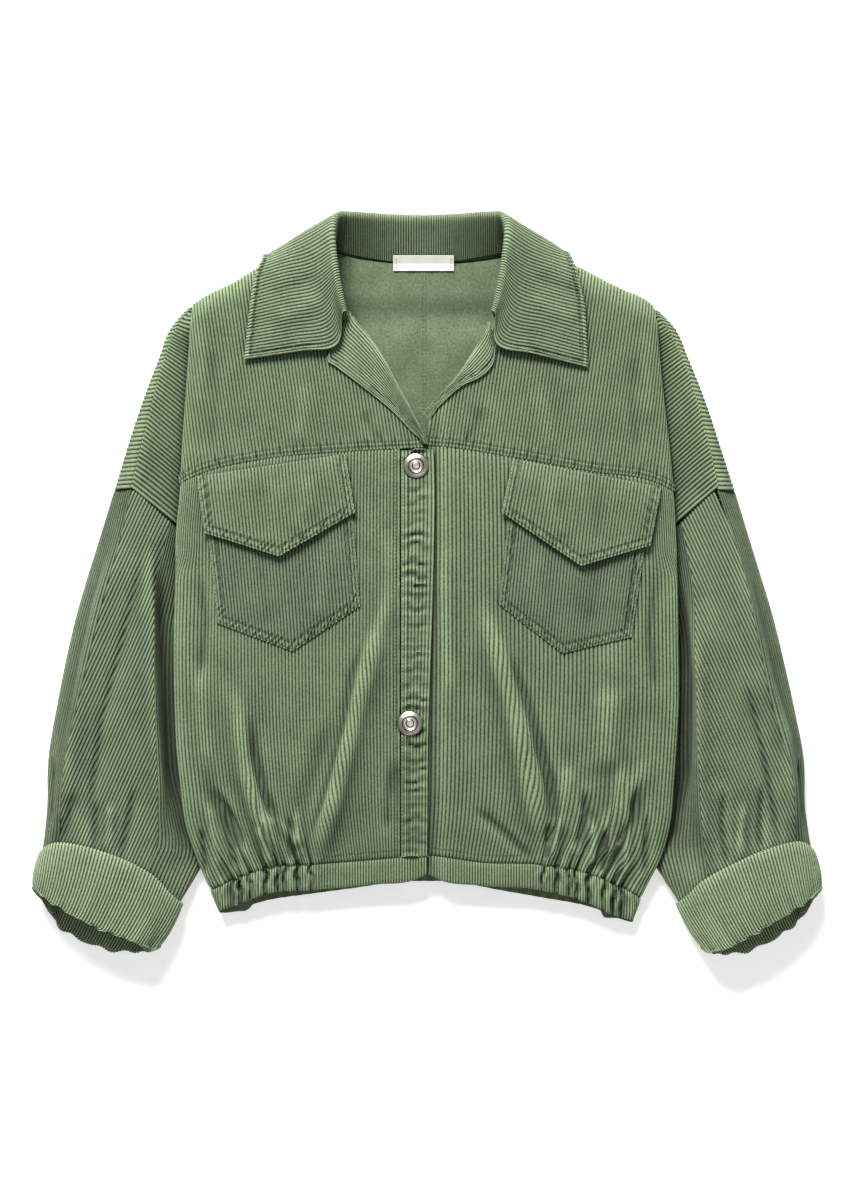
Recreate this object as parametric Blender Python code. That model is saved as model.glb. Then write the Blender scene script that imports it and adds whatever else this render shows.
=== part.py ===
"""A cropped corduroy jacket, lying flat on its back with its fronts snapped together.

Frame: the jacket rests on z = 0, the collar points along +Y and the fronts face +Z.
Tables are in millimetres. "r" and "l" are the wearer's right and left; the right side
lies at -X. "out" is the distance from the centre line, positive towards the side seams.
Every piece is a wall of cloth: a grid of points on its outer face, thickened inwards.
"""
import math

import bpy
import numpy as np

MM = 0.001
CLOTH = 2.0            # corduroy
GAP = 0.3              # between pieces at a seam
SIGN = {"r": -1.0, "l": 1.0}

CURL_START = 22.0      # the fronts start to turn under this far from the folded edge
FOLD_RUN = 44.0        # cloth from there to the bottom of the fold over the shoulder
SIDE_RUN = 69.0        # cloth from there to the side seam
UNDERARM_Y = 34.0
BUTTON_RADIUS = 11.3


def table(columns, *rows):
    """Named columns from short rows."""
    return {name: np.array([row[i] for row in rows], float) for i, name in enumerate(columns.split())}


# Folded side edge of the body, from the hem up.
EDGE = table("y r l",
             (-300, 186, 187), (-272, 197, 198), (-246, 208, 211), (-218, 217.4, 219),
             (-182, 222.3, 222.5), (-146, 225.9, 225), (-100, 227.8, 227.2), (-50, 228.3, 226.8),
             (0, 227, 226), (50, 226, 224.3), (85, 222.8, 222.3), (126, 221, 219),
             (160, 218.7, 215), (210, 215.3, 210), (250, 213, 207))
# How the fronts turn under at that edge: cloth used, distance in from the edge, share of the height.
CURL = table("run inward share",
             (0, 22, 1.0), (10, 12, 0.97), (18.5, 4, 0.87), (23, 0.6, 0.76), (26.5, 0, 0.65),
             (31, 1.5, 0.52), (39, 8, 0.36), (44, 12.4, 0.3), (52, 19, 0.19), (63, 30, 0.05), (69, 36, 0))
SEAM_LEVEL = 2.5       # the fronts meet the back this high above the floor
# Height of the fronts above the floor, at the centre and at the start of the curl.
HEIGHT = table("y centre side",
               (-300, 20, 19), (-250, 25, 23), (-200, 31, 29), (-100, 36, 32), (0, 37, 32),
               (100, 36, 30), (160, 33, 28), (220, 29, 26), (260, 26, 24), (305, 22, 20))
YOKE_SEAM = table("out r l", (-20, 124, 125), (0, 124, 126), (15, 123.3, 125), (75, 120.5, 116),
                  (150, 113.5, 102.5), (205, 100.5, 93.5), (224, 92, 85))
HEM_TOP = table("out r l", (-2, -242.5, -242.5), (10, -243.3, -243.5), (50, -246.6, -249),
                (100, -250.7, -250.7), (145, -253.8, -258.5), (170, -262.8, -268.5), (193, -273, -281))
HEM_DEPTH = table("out r l", (-2, 16, 16), (10, 21, 21), (50, 22.5, 21), (100, 23, 23),
                  (145, 23.5, 27), (170, 24, 29), (193, 22, 22))
# Lower edge of the hem at the back.
HEM_BACK = table("out r l", (0, -267.5, -267.5), (16, -267.5, -267.5), (68, -274, -276), (105, -279, -282.5),
                 (145, -285, -290), (175, -294, -300))
HEM_BAND = 22.5
BACK_STEPS = 8
# Shoulder line, from the side of the neck to the point where the shoulder drops.
SHOULDER = table("out r l", (85, 303, 303), (110, 299, 297), (137, 293, 289), (150, 289.5, 282.5),
                 (175, 275, 269.5), (202, 262, 257), (226, 246, 233))
BACK_NECK = table("out y", (0, 291), (40, 293), (70, 298), (85, 303))
# Front opening: the line where the lapel turns back, from the break up, and then the neckline.
ROLL = {"r": table("out y", (-1, 127.5), (7.2, 144.9), (22.5, 174.6), (41.4, 209.7), (54, 227.7),
                   (63.9, 239.4), (70.2, 248.4)),
        "l": table("out y", (-5, 155.5), (0.5, 160.5), (10.8, 171), (28.8, 191.7), (43.2, 214.2),
                   (53.1, 230.4), (55.8, 246.6))}
LAPEL_EDGE = {"r": table("out y", (5.5, 131.5), (14, 138.5), (32.4, 157.5), (58.5, 178.2), (81, 195.3),
                         (90, 202.5), (84.6, 217.8)),
              "l": table("out y", (-1, 150), (5, 154), (12.6, 162.9), (31.5, 179.1), (47.7, 186.3),
                         (59.4, 198), (62.1, 216))}
# Drop shoulder: the fold's bottom, the seam to the back, and the outline, for rows along the wales.
SHOULDER_SEAM = {"r": table("fold_y seam_out seam_y seam_z",
                            (45, 266.9, 87.6, 24), (84.6, 258.3, 124.2, 24), (131.4, 248, 164.7, 22),
                            (183.6, 237, 206.1, 18), (241, 223.5, 245, 12), (256, 217.5, 251.5, 10)),
                 "l": table("fold_y seam_out seam_y seam_z",
                            (43.2, 262.8, 86.4, 24), (84.6, 254.7, 124.2, 24), (131.4, 243.9, 164.7, 22),
                            (183.6, 230.8, 206.1, 18), (239, 213, 242, 12), (253, 209.5, 249, 10))}
OUTLINE = table("y r l", (85, 283.5, 279), (124, 271.8, 266.4), (165, 258.3, 252.9), (206, 243, 236.7),
                (249, 228.2, 218.8), (258, 223, 214))
# Folds on the fronts: from (out0, y0) to (out1, y1), half width and height in the middle.
FRONT_FOLDS = {
    "r": table("out0 y0 out1 y1 width rise",
               (35, -10, 70, -125, 8, 2.5), (70, -120, 99, -250, 9, 5), (88, -125, 118, -215, 10, -3.5),
               (172, -90, 166, -170, 12, 3), (166, -165, 130, -250, 9, 4.5), (196, -175, 168, -245, 8, -3.5),
               (205, 40, 214, -150, 14, -2.5)),
    "l": table("out0 y0 out1 y1 width rise",
               (52, -15, 80, -120, 9, 3), (78, -115, 104, -235, 9, 5), (92, -140, 122, -220, 10, -3.5),
               (166, -40, 160, -150, 16, 3), (193, -160, 160, -260, 9, 4.5), (140, -180, 134, -245, 8, 3),
               (207, 40, 212, -150, 14, -2.5))}


def curve(knots, values, at):
    """A smooth line through the values at the knots."""
    slopes = np.gradient(values, knots)
    at = np.clip(np.asarray(at, float), knots[0], knots[-1])
    i = np.clip(np.searchsorted(knots, at, side="right") - 1, 0, len(knots) - 2)
    step = knots[i + 1] - knots[i]
    t = (at - knots[i]) / step
    return ((1 + 2 * t) * (1 - t) ** 2 * values[i] + t * (1 - t) ** 2 * step * slopes[i]
            + t * t * (3 - 2 * t) * values[i + 1] - t * t * (1 - t) * step * slopes[i + 1])


def ease(t):
    """From 0 to 1 with level ends."""
    t = np.clip(t, 0, 1)
    return t * t * (3 - 2 * t)


def quarter(t):
    """Quarter of a circle: 0 to 1, steep at the start."""
    t = np.clip(t, 0, 1)
    return np.sqrt(1 - (1 - t) ** 2)


def fold_heights(folds, out, y):
    """Sum of the soft ridges and troughs laid along their lines."""
    total = np.zeros(np.broadcast(out, y).shape)
    for out0, y0, out1, y1, width, rise in zip(*(folds[k] for k in ("out0", "y0", "out1", "y1", "width", "rise"))):
        along = np.array([out1 - out0, y1 - y0])
        length = math.hypot(*along)
        along = along / length
        t = ((out - out0) * along[0] + (y - y0) * along[1]) / length
        across = (out - out0) * -along[1] + (y - y0) * along[0]
        ends = ease((t + 0.15) / 0.4) * ease((1.15 - t) / 0.4)
        total = total + rise * ends * np.exp(-(across / width) ** 2)
    return total


def shoulder_fall(side, out, y):
    """Share of the height left near the shoulder line, where the front goes over to the back."""
    below = curve(SHOULDER["out"], SHOULDER[side], out) - y
    left = 0.46 - 0.24 * ease((out - 190) / 22)
    return np.where(out > 84, left + (1 - left) * quarter(below / 16), 1.0)


def front_height(side, out, y):
    """Height of the fronts' outer face where they lie open to view."""
    centre = curve(HEIGHT["y"], HEIGHT["centre"], y)
    edge = curve(HEIGHT["y"], HEIGHT["side"], y)
    height = edge + (centre - edge) * (1 - np.clip(out / 205, 0, 1) ** 2)
    height = height + fold_heights(FRONT_FOLDS[side], out, y) * ease((105 - y) / 40)
    height = height * shoulder_fall(side, out, y)
    if side == "l":
        height = height - 4.5 * ease((16 - out) / 12)
    return height


def front_point(side, cloth, y):
    """A point of the fronts at a distance along the cloth from the centre line."""
    edge = curve(EDGE["y"], EDGE[side], y)
    start = edge - CURL_START
    run = cloth - start
    out = np.where(run > 0, edge - curve(CURL["run"], CURL["inward"], run), cloth)
    share = np.where(run > 0, curve(CURL["run"], CURL["share"], run), 1.0)
    height = front_height(side, np.where(run > 0, np.minimum(out, edge), cloth), y)
    level = SEAM_LEVEL + (height - SEAM_LEVEL) * share
    return np.stack(np.broadcast_arrays(SIGN[side] * out, y, level), axis=-1)


def edge_cloth(side, y, run):
    """The cloth coordinate that lies a given run past the start of the curl."""
    return curve(EDGE["y"], EDGE[side], y) - CURL_START + run


def unit(v):
    """Vectors of length 1."""
    return v / np.maximum(np.linalg.norm(v, axis=-1, keepdims=True), 1e-9)


def front_normal(side, cloth, y):
    """Which way the fronts' outer face looks."""
    across = front_point(side, cloth + 1, y) - front_point(side, cloth - 1, y)
    along = front_point(side, cloth, y + 1) - front_point(side, cloth, y - 1)
    return unit(np.cross(across, along)) * SIGN[side]


# ---------------------------------------------------------------- making solids

def finish(name, colour, roughness, metallic=0.0):
    """A plain material of the piece's colour."""
    material = bpy.data.materials.new(name)
    material.use_nodes = True
    shader = material.node_tree.nodes["Principled BSDF"]
    shader.inputs["Base Color"].default_value = (*colour, 1)
    shader.inputs["Roughness"].default_value = roughness
    shader.inputs["Metallic"].default_value = metallic
    return material


def add_object(name, points, faces, material):
    """An object from points in millimetres."""
    mesh = bpy.data.meshes.new(name)
    mesh.from_pydata([tuple(float(c) * MM for c in p) for p in points], [], faces)
    mesh.materials.append(material)
    mesh.shade_smooth()
    mesh.set_sharp_from_angle(angle=math.radians(50))
    obj = bpy.data.objects.new(name, mesh)
    bpy.context.collection.objects.link(obj)
    return obj


def wall(name, grids, material, thickness=CLOTH, closed=False, valley=None):
    """A wall of cloth from grids of outer points that share edges, thickened inwards.

    A valley is the line of a narrow fold and the step there from outer to inner face.
    """
    points, faces, index = [], [], {}

    def vertex(p):
        key = tuple(np.round(p, 3))
        if key not in index:
            index[key] = len(points)
            points.append(np.array(p, float))
        return index[key]

    for grid in grids:
        rows, cols = grid.shape[:2]
        ids = [[vertex(grid[r, c]) for c in range(cols)] for r in range(rows)]
        for r in range(rows - 1):
            for c in range(cols if closed else cols - 1):
                e = (c + 1) % cols
                a, b, d, f = ids[r][c], ids[r][e], ids[r + 1][e], ids[r + 1][c]
                faces += [t for t in ([a, b, d], [a, d, f]) if len(set(t)) == 3]
    points = np.array(points)
    total = np.zeros_like(points)
    units = []
    for face in faces:
        p = points[face]
        flat = unit(np.cross(p[1] - p[0], p[2] - p[0]))
        units.append(flat)
        for k, v in enumerate(face):
            one, other = unit(p[(k + 1) % 3] - p[k]), unit(p[(k + 2) % 3] - p[k])
            total[v] += flat * math.acos(max(-1.0, min(1.0, float(one @ other))))
    out = unit(total)
    lean = np.ones(len(points))
    for face, flat in zip(faces, units):
        for v in face:
            lean[v] = min(lean[v], float(flat @ out[v]))
    inner = points - out * (thickness / np.maximum(lean, 0.8))[:, None]
    if valley:
        line_points, step = valley
        at = [index[tuple(np.round(p, 3))] for p in line_points]
        inner[at] = points[at] + step
    n = len(points)
    sides = {}
    for face in faces:
        for k, a in enumerate(face):
            b = face[(k + 1) % len(face)]
            sides[(a, b)] = True
    rims = [(b, a, a + n, b + n) for a, b in sides if (b, a) not in sides]
    back = [tuple(v + n for v in reversed(face)) for face in faces]
    return add_object(name, np.vstack([points, inner]), [tuple(f) for f in faces] + back + rims, material)


def facing_up(grid, side):
    """The grid with its rows ordered so that its normals point out of the cloth."""
    return grid[::-1] if side == "r" else grid


def patch(bottom, top, left, right, us, vs):
    """Grid filling four boundary curves, each a function of 0 to 1 giving 2-D points."""
    u = np.asarray(us)[None, :, None]
    v = np.asarray(vs)[:, None, None]
    b, t = bottom(np.asarray(us))[None], top(np.asarray(us))[None]
    le, r = left(np.asarray(vs))[:, None], right(np.asarray(vs))[:, None]
    c00, c10, c01, c11 = b[:, :1], b[:, -1:], t[:, :1], t[:, -1:]
    return (b * (1 - v) + t * v + le * (1 - u) + r * u
            - (c00 * (1 - u) * (1 - v) + c10 * u * (1 - v) + c01 * (1 - u) * v + c11 * u * v))


def shares(*parts):
    """Positions from 0 to 1: (end, steps) pairs."""
    at, values = 0.0, [0.0]
    for end, steps in parts:
        values += [at + (end - at) * (k + 1) / steps for k in range(steps)]
        at = end
    return np.array(values)


# ---------------------------------------------------------------- fronts and yokes

# Inner edge of the yoke: behind the lapel's roll, then up the neckline.
YOKE_OPEN = {"r": table("y out", (124.3, 2), (145, 12.5), (174.6, 28), (209.7, 46.5), (227.7, 59),
                        (239.4, 69), (250, 78), (275, 87), (303, 91)),
             "l": table("y out", (125.3, -3), (150, 3), (158, 8), (171, 20), (191.7, 36.5),
                        (214.2, 49.5), (230.4, 59.5), (246.6, 65), (275, 77), (303, 89))}
PLACKET_EDGE = table("y x", (-245, 1.0), (-210, 1.2), (-120, 2.2), (-53, 4.5), (5, 6.3), (105, 7.2), (124, 6.5))
PLACKET_SEAM = 23.7
FRONT_OPEN = {"r": 24.0, "l": -18.0}
SEAM_COLUMNS = np.array([0.17, 0.26, 0.35, 0.44, 0.53, 0.62, 0.71, 0.8, 0.9, 1.0])
TURNED_STEPS = 7


def line(points, side):
    """A seam's y as a function of the distance out."""
    return lambda out: curve(points["out"], points[side], out)


def turned_run(y):
    """Cloth that turns under below the edge: to the fold above the underarm, to the side seam below."""
    return FOLD_RUN + (SIDE_RUN - FOLD_RUN) * ease((UNDERARM_Y - y) / 26)


def fold_run(y):
    """Cloth turned under along the fold at the shoulder, which runs out at its tip."""
    return CURL_START + (FOLD_RUN - CURL_START) * ease((250 - y) / 60)


def under_hem(side, cloth, edge, y):
    """The hem seam's y, which meets the back's seam on the underside."""
    run = cloth - edge + CURL_START
    out = edge - curve(CURL["run"], CURL["inward"], run)
    back_seam = curve(HEM_BACK["out"], HEM_BACK[side], out) + HEM_BAND
    share = ease((run - 25) / 16)
    return y * (1 - share) + back_seam * share


def turned_columns(side, bottom, top, run_end, shares_turned, vs, at_hem=False):
    """The part of a front that turns under: cloth coordinates and heights up the body."""
    v = np.asarray(vs)[:, None]
    edge_y = bottom(212.0) * (1 - v) + top(212.0) * v
    edge = curve(EDGE["y"], EDGE[side], edge_y)
    cloth = edge - CURL_START + run_end(edge_y) * np.asarray(shares_turned)[None]
    at = np.minimum(cloth, edge)
    low = under_hem(side, cloth, edge, bottom(at)) if at_hem else bottom(at)
    return cloth, low * (1 - v) + top(at) * v


def seam_shares(low, start):
    """Where the columns of a front and its yoke meet along their seam, as shares of the flat part."""
    return np.concatenate([[0.0], (SEAM_COLUMNS * start - low) / (start - low)])


def front_grid(side, vs=None, turned=None):
    """Outer face of a lower front, from the placket round to the side seam."""
    vs = shares((0.7, 7), (0.86, 4), (1.0, 2)) if vs is None else vs
    turned = np.linspace(0, 1, TURNED_STEPS + 1) if turned is None else turned
    hem, seam = line(HEM_TOP, side), line(YOKE_SEAM, side)
    bottom, top = (lambda o: hem(o) + GAP), (lambda o: seam(o) - GAP)
    cloth, y = turned_columns(side, bottom, top, turned_run, turned, vs, at_hem=True)
    u = seam_shares(FRONT_OPEN[side], cloth[-1, 0])[None, :-1]
    flat = FRONT_OPEN[side] * (1 - u) + cloth[:, :1] * u
    v = np.asarray(vs)[:, None]
    flat_y = bottom(flat) * (1 - v) + top(flat) * v
    return front_point(side, np.hstack([flat, cloth]), np.hstack([flat_y, y]))


def hem_seam(side):
    """The seam between a front and its hem band, at the front's columns: cloth coordinates and y."""
    cloth, y = turned_columns(side, line(HEM_TOP, side), line(YOKE_SEAM, side), turned_run,
                              np.linspace(0, 1, TURNED_STEPS + 1), np.array([0.0]), at_hem=True)
    upper, _ = turned_columns(side, line(HEM_TOP, side), line(YOKE_SEAM, side), turned_run,
                              np.array([0.0]), np.array([1.0]))
    u = seam_shares(FRONT_OPEN[side], upper[0, 0])[:-1]
    flat = FRONT_OPEN[side] * (1 - u) + cloth[0, 0] * u
    return np.concatenate([flat, cloth[0]]), np.concatenate([line(HEM_TOP, side)(flat), y[0]])


def yoke_grid(side, vs=None, turned=None):
    """Outer face of a yoke, from the opening to the bottom of the fold at its side."""
    vs = shares((0.85, 7), (0.96, 2), (0.99, 1), (1.0, 1)) if vs is None else vs
    turned = np.linspace(0, 1, TURNED_STEPS + 1) if turned is None else turned
    seam, shoulder, opening = line(YOKE_SEAM, side), line(SHOULDER, side), YOKE_OPEN[side]
    cloth, y = turned_columns(side, seam, shoulder, fold_run, turned, vs)
    low, high = opening["out"][0], opening["out"][-1]

    def bottom(u):
        out = low + (cloth[0, 0] - low) * u
        return np.stack([out, seam(out)], -1)

    def top(u):
        out = high + (cloth[-1, 0] - high) * u
        return np.stack([out, shoulder(out)], -1)

    def left(v):
        at = seam(low) + (shoulder(high) - seam(low)) * v
        return np.stack([curve(opening["y"], opening["out"], at), at], -1)

    right = lambda v: np.stack([cloth[:, 0], y[:, 0]], -1)
    plan = patch(bottom, top, left, right, seam_shares(low, cloth[0, 0]), vs)[:, :-1]
    return front_point(side, np.hstack([plan[..., 0], cloth]), np.hstack([plan[..., 1], y]))


def shoulder_grid(side, fold, steps=6, low_steps=3):
    """The front of the drop shoulder, in rows along its wales, from the fold to the shoulder seam."""
    rows = SHOULDER_SEAM[side]
    low_y = np.linspace(46, fold[0, 1], low_steps + 1)[:-1]
    low = front_point(side, edge_cloth(side, low_y, FOLD_RUN + 1.6), low_y)
    start = np.vstack([low, fold])
    at = start[:, 1]
    end = np.stack([SIGN[side] * curve(rows["fold_y"], rows["seam_out"], at),
                    curve(rows["fold_y"], rows["seam_y"], at), curve(rows["fold_y"], rows["seam_z"], at)], -1)
    t = np.linspace(0, 1, steps + 1)[None, :, None]
    grid = start[:, None] * (1 - t) + end[:, None] * t
    grid[..., 2] = start[:, None, 2] + (end[:, None, 2] - start[:, None, 2]) * ease(t[..., 0])
    bow = (7 * ease((110 - at) / 40) - 6 * ease((74 - at) / 28))[:, None] * 4 * t[..., 0] * (1 - t[..., 0])
    grid[..., 0] += SIGN[side] * 0.6 * bow
    grid[..., 1] += 0.8 * bow
    return grid


def build_fronts(side, cloth):
    yoke = yoke_grid(side)
    shoulder = shoulder_grid(side, yoke[:, -1])
    step = np.array([-SIGN[side] * 2.5, 0, -0.7])
    wall("yoke_" + side, [facing_up(yoke, side), facing_up(shoulder, side)], cloth["yoke"],
         valley=(shoulder[:, 0], step))
    wall("front_" + side, [facing_up(front_grid(side), side)], cloth["front"])


# ---------------------------------------------------------------- back

SIDE_LAP = 27.0        # the back's side edge lies this far in from the folded edge
NECK_LIFT = 4.6        # the collar's fall lies under the back of the neck
OUTLINE_Y = 86.4
# The armhole seam where it lies on the floor.
ARMHOLE_FLOOR = table("y r l", (16, 196.5, 195.2), (36, 212, 211), (42, 219, 218.2), (60, 245, 243.4),
                      (79.8, 272.3, 268), (86.4, 273.3, 268.6))

def back_edge(side, y):
    """Where the back's flat part ends: side seam, armhole seam, then the turned outline."""
    seam = curve(EDGE["y"], EDGE[side], y) - SIDE_LAP
    outline = curve(OUTLINE["y"], OUTLINE[side], y) - 10
    armhole = np.interp(y, ARMHOLE_FLOOR["y"], ARMHOLE_FLOOR[side])
    return np.where(y < 16, seam, np.where(y < OUTLINE_Y, armhole, outline))


def back_top(side, out):
    """The back's neckline and shoulder line."""
    neck = curve(BACK_NECK["out"], BACK_NECK["y"], out)
    return np.where(out < 85, neck, curve(SHOULDER["out"], SHOULDER[side], out))


def back_rise(side, out, y):
    """Height of the back's outer face: flat, lifted over the collar, turned up at the shoulder."""
    lift = NECK_LIFT * ease((y - 238) / 16) * ease((152 - out) / 16)
    top = back_top(side, out)
    seam = front_height(side, np.maximum(out, 86), top) - 2.3 - 0.9 * ease((110 - out) / 20)
    up = seam * (1 - quarter((top - y) / 12)) * ease((out - 66) / 20) * ease((212 - out) / 9)
    return np.maximum(lift, up)


def back_grid(side, steps=BACK_STEPS, low_rows=8, high=None):
    """Outer (lower) face of a back panel, hem to neck."""
    high = shares((0.8, 5), (0.94, 2), (0.985, 1), (1.0, 1)) if high is None else high
    hem = lambda out: curve(HEM_BACK["out"], HEM_BACK[side], out) + HEM_BAND + GAP
    u = np.linspace(0, 1, steps + 1)[None]
    v = np.linspace(0, 1, low_rows + 1)[:, None]
    edge_y = (hem(170.0) - GAP) * (1 - v) + OUTLINE_Y * v
    low_out = 0.2 + (back_edge(side, edge_y) - 0.2) * u
    low = np.stack([low_out, hem(low_out) * (1 - v) + OUTLINE_Y * v, 0 * low_out], -1)
    tip_y = 252.0 if side == "r" else 246.0
    r = np.asarray(high)[1:, None]
    high_y = OUTLINE_Y + (tip_y - OUTLINE_Y) * r
    high_out = 0.2 + (back_edge(side, high_y) - 0.2) * u
    top_out = 0.2 + (back_edge(side, tip_y) - 0.2) * u
    top = back_top(side, top_out)
    y = OUTLINE_Y + (top - OUTLINE_Y) * r
    y = y + (high_y - y) * u ** 20
    upper = np.stack([high_out, y, back_rise(side, high_out, y)], -1)
    return signed(np.vstack([low, upper]), side), low_rows


def signed(grid, side):
    """A grid in distances out, set on its side of the body."""
    grid = grid.copy()
    grid[..., 0] *= SIGN[side]
    return grid


def back_roll(side, start, steps=5):
    """The back of the drop shoulder, turned up round the outline to the shoulder seam."""
    seam = SHOULDER_SEAM[side]
    y0 = start[:, 1]
    out0 = np.abs(start[:, 0])
    t = (y0 - y0[0]) / (y0[-1] - y0[0])
    seam_y = seam["seam_y"][0] + (seam["seam_y"][-1] - seam["seam_y"][0]) * t
    seam_out = curve(seam["seam_y"], seam["seam_out"], seam_y) + 1.5
    seam_z = curve(seam["seam_y"], seam["seam_z"], seam_y) - 0.5
    outline = curve(OUTLINE["y"], OUTLINE[side], (y0 + seam_y) / 2)
    middle = seam_z * 0.42
    rows = []
    for q in np.linspace(0, 1, 2 * steps + 1):
        low = q <= 0.5
        angle = math.pi * q
        if low:
            out = out0 + (outline - out0) * math.sin(angle)
            z = start[:, 2] + (middle - start[:, 2]) * (1 - math.cos(angle))
        else:
            out = seam_out + (outline - seam_out) * math.sin(angle)
            z = seam_z + (middle - seam_z) * (1 + math.cos(angle))
        rows.append(np.stack([SIGN[side] * out, y0 + (seam_y - y0) * q, z], -1))
    return np.stack(rows, 1)


def build_back(side, cloth):
    flat, low_rows = back_grid(side)
    roll = back_roll(side, flat[low_rows:, -1])
    wall("back_" + side, [facing_up(g, "l" if side == "r" else "r") for g in (flat, roll)], cloth["yoke"])


# ---------------------------------------------------------------- collar

ROLL_RADIUS = 3.6
COLLAR = {
    "r": table("seam_out seam_y seam_z roll_out roll_y roll_z mid_out mid_y mid_z fall_out fall_y fall_z edge_out edge_y edge_z",
               (73.8, 241.2, 31.5, 72, 246.2, 40, 81, 215.6, 38, 114.3, 209.7, 35, 164.7, 202.5, 32.5),
               (77.3, 257.4, 28.5, 75.6, 261.9, 43, 91.8, 241.2, 39, 123.3, 234.9, 35, 162, 227.7, 32),
               (81.9, 272.7, 26, 79.2, 282.6, 46, 100.8, 268.2, 40.5, 127.8, 262.8, 35, 159.3, 254.7, 31),
               (84.6, 288, 22, 81.9, 302.4, 46, 105.3, 291.6, 40, 129.6, 286.2, 34, 155.7, 279, 28.5),
               (84.5, 297, 18, 82.8, 320.4, 44, 107.1, 308.7, 36, 127.8, 300.6, 30, 150.3, 292.6, 23),
               (83, 304.5, 13, 80.5, 331.5, 40, 107.1, 321.3, 28, 127.8, 309.6, 20, 148.5, 297.5, 11),
               (77.5, 303.5, 10.5, 75.5, 336, 35.5, 100, 320.5, 20, 119, 306, 8, 134, 297.5, 2),
               (70, 300.5, 8.5, 69.3, 336.6, 31, 91.8, 318.6, 12, 109.8, 302.4, 0.8, 114.3, 288.9, 0.2),
               (38, 294.6, 7.4, 37.8, 335.7, 24, 44.1, 311.4, 5.5, 51.3, 291.6, 0.3, 60.3, 270.9, 0.2),
               (3, 292, 7.0, 3, 334.8, 22, 3, 311.4, 4.5, 3, 291.6, 0.3, 3, 266.4, 0.2)),
    "l": table("seam_out seam_y seam_z roll_out roll_y roll_z mid_out mid_y mid_z fall_out fall_y fall_z edge_out edge_y edge_z",
               (59.4, 241.2, 31.5, 57.6, 246.2, 40, 63, 216, 38, 97.2, 207, 35.5, 144.9, 195.3, 32.5),
               (63.5, 257.4, 28.5, 62.1, 261.9, 43, 76.5, 239.4, 39, 106.2, 232.2, 35.5, 144, 221.4, 32.5),
               (67.5, 272.7, 26, 65.7, 282.6, 46, 83.7, 268.2, 40.5, 112.5, 259.2, 36, 142.2, 252, 32),
               (71.1, 288, 22, 68.4, 302.4, 46, 90, 291.6, 40, 113.4, 284.4, 35, 137.7, 276.3, 30),
               (72, 297, 18, 70.2, 320.4, 44, 92.7, 308.7, 36, 112.5, 300.5, 30, 131.4, 296, 23.5),
               (71, 301.5, 13, 68, 331.5, 40, 92.7, 321.3, 28, 112.5, 310.5, 20, 128, 300, 12),
               (64, 300.8, 10.5, 62.8, 336, 35.5, 85.5, 320.5, 20, 104, 306, 8, 119, 300, 2),
               (56.7, 299.5, 8.5, 56.7, 336.6, 31, 77.4, 318.6, 12, 95.4, 302.4, 0.8, 101.7, 288.9, 0.2),
               (25.2, 294.2, 7.2, 25.2, 335.7, 24, 31.5, 311.4, 5.5, 38.7, 291.6, 0.3, 47.7, 270.9, 0.2))}


def collar_sections():
    """Points of every section from the right front end round to the left one."""
    parts = []
    for side, order in (("r", slice(None)), ("l", slice(None, None, -1))):
        columns = COLLAR[side]
        rows = [np.stack([SIGN[side] * columns[p + "_out"], columns[p + "_y"], columns[p + "_z"]], -1)
                for p in ("seam", "roll", "mid", "fall", "edge")]
        parts.append(np.stack(rows, 1)[order])
    return np.vstack(parts)


def collar_grid(per_section=1, stand_steps=2, fall_steps=2):
    """Outer face of the collar: up the stand, round the roll and down the fall."""
    sections = collar_sections()
    knots = np.arange(len(sections), dtype=float)
    at = np.linspace(0, len(sections) - 1, per_section * (len(sections) - 1) + 1)
    seam, roll, mid, fall, edge = (np.stack([curve(knots, sections[:, p, k], at) for k in range(3)], -1)
                                   for p in range(5))
    down_stand, down_fall = unit(seam - roll), unit(mid - roll)
    along = unit(np.gradient(roll, axis=0))
    tip = -(down_stand + down_fall)
    tip = unit(tip - (tip * along).sum(-1, keepdims=True) * along)
    across = np.cross(tip, along)
    across *= np.sign((across * (down_fall - down_stand)).sum(-1, keepdims=True))
    centre = roll - tip * ROLL_RADIUS
    spread = np.arccos(np.clip((down_stand * down_fall).sum(-1, keepdims=True), -1, 1)) / 2
    turns = [spread + (math.pi - 2 * spread) * t for t in np.linspace(0, 1, 5)]
    loop = [centre + ROLL_RADIUS * (np.sin(a) * tip - np.cos(a) * across) for a in turns]
    stand = [seam + (loop[0] - seam) * t for t in np.linspace(0, 1, stand_steps + 1)[:-1]]
    lines = np.stack([loop[-1], mid, fall, edge])
    t = np.linspace(0, 3, 3 * fall_steps + 1)[1:]
    flat = lines.reshape(4, -1)
    falls = np.stack([curve(np.arange(4.0), flat[:, k], t) for k in range(flat.shape[1])], -1)
    falls = falls.reshape(len(t), *lines.shape[1:])
    return np.stack(stand + loop + list(falls))


def build_collar(cloth):
    wall("collar", [collar_grid()], cloth["collar"], thickness=1.8)


# ---------------------------------------------------------------- sleeves and cuffs

CUFF_WALL = 5.0        # a turned-up cuff is two layers of cloth with a rounded fold
CUFF_ROWS = 5
SLEEVE_IN_CUFF = 2.4   # the sleeve's end lies this far behind the cuff's face
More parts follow.
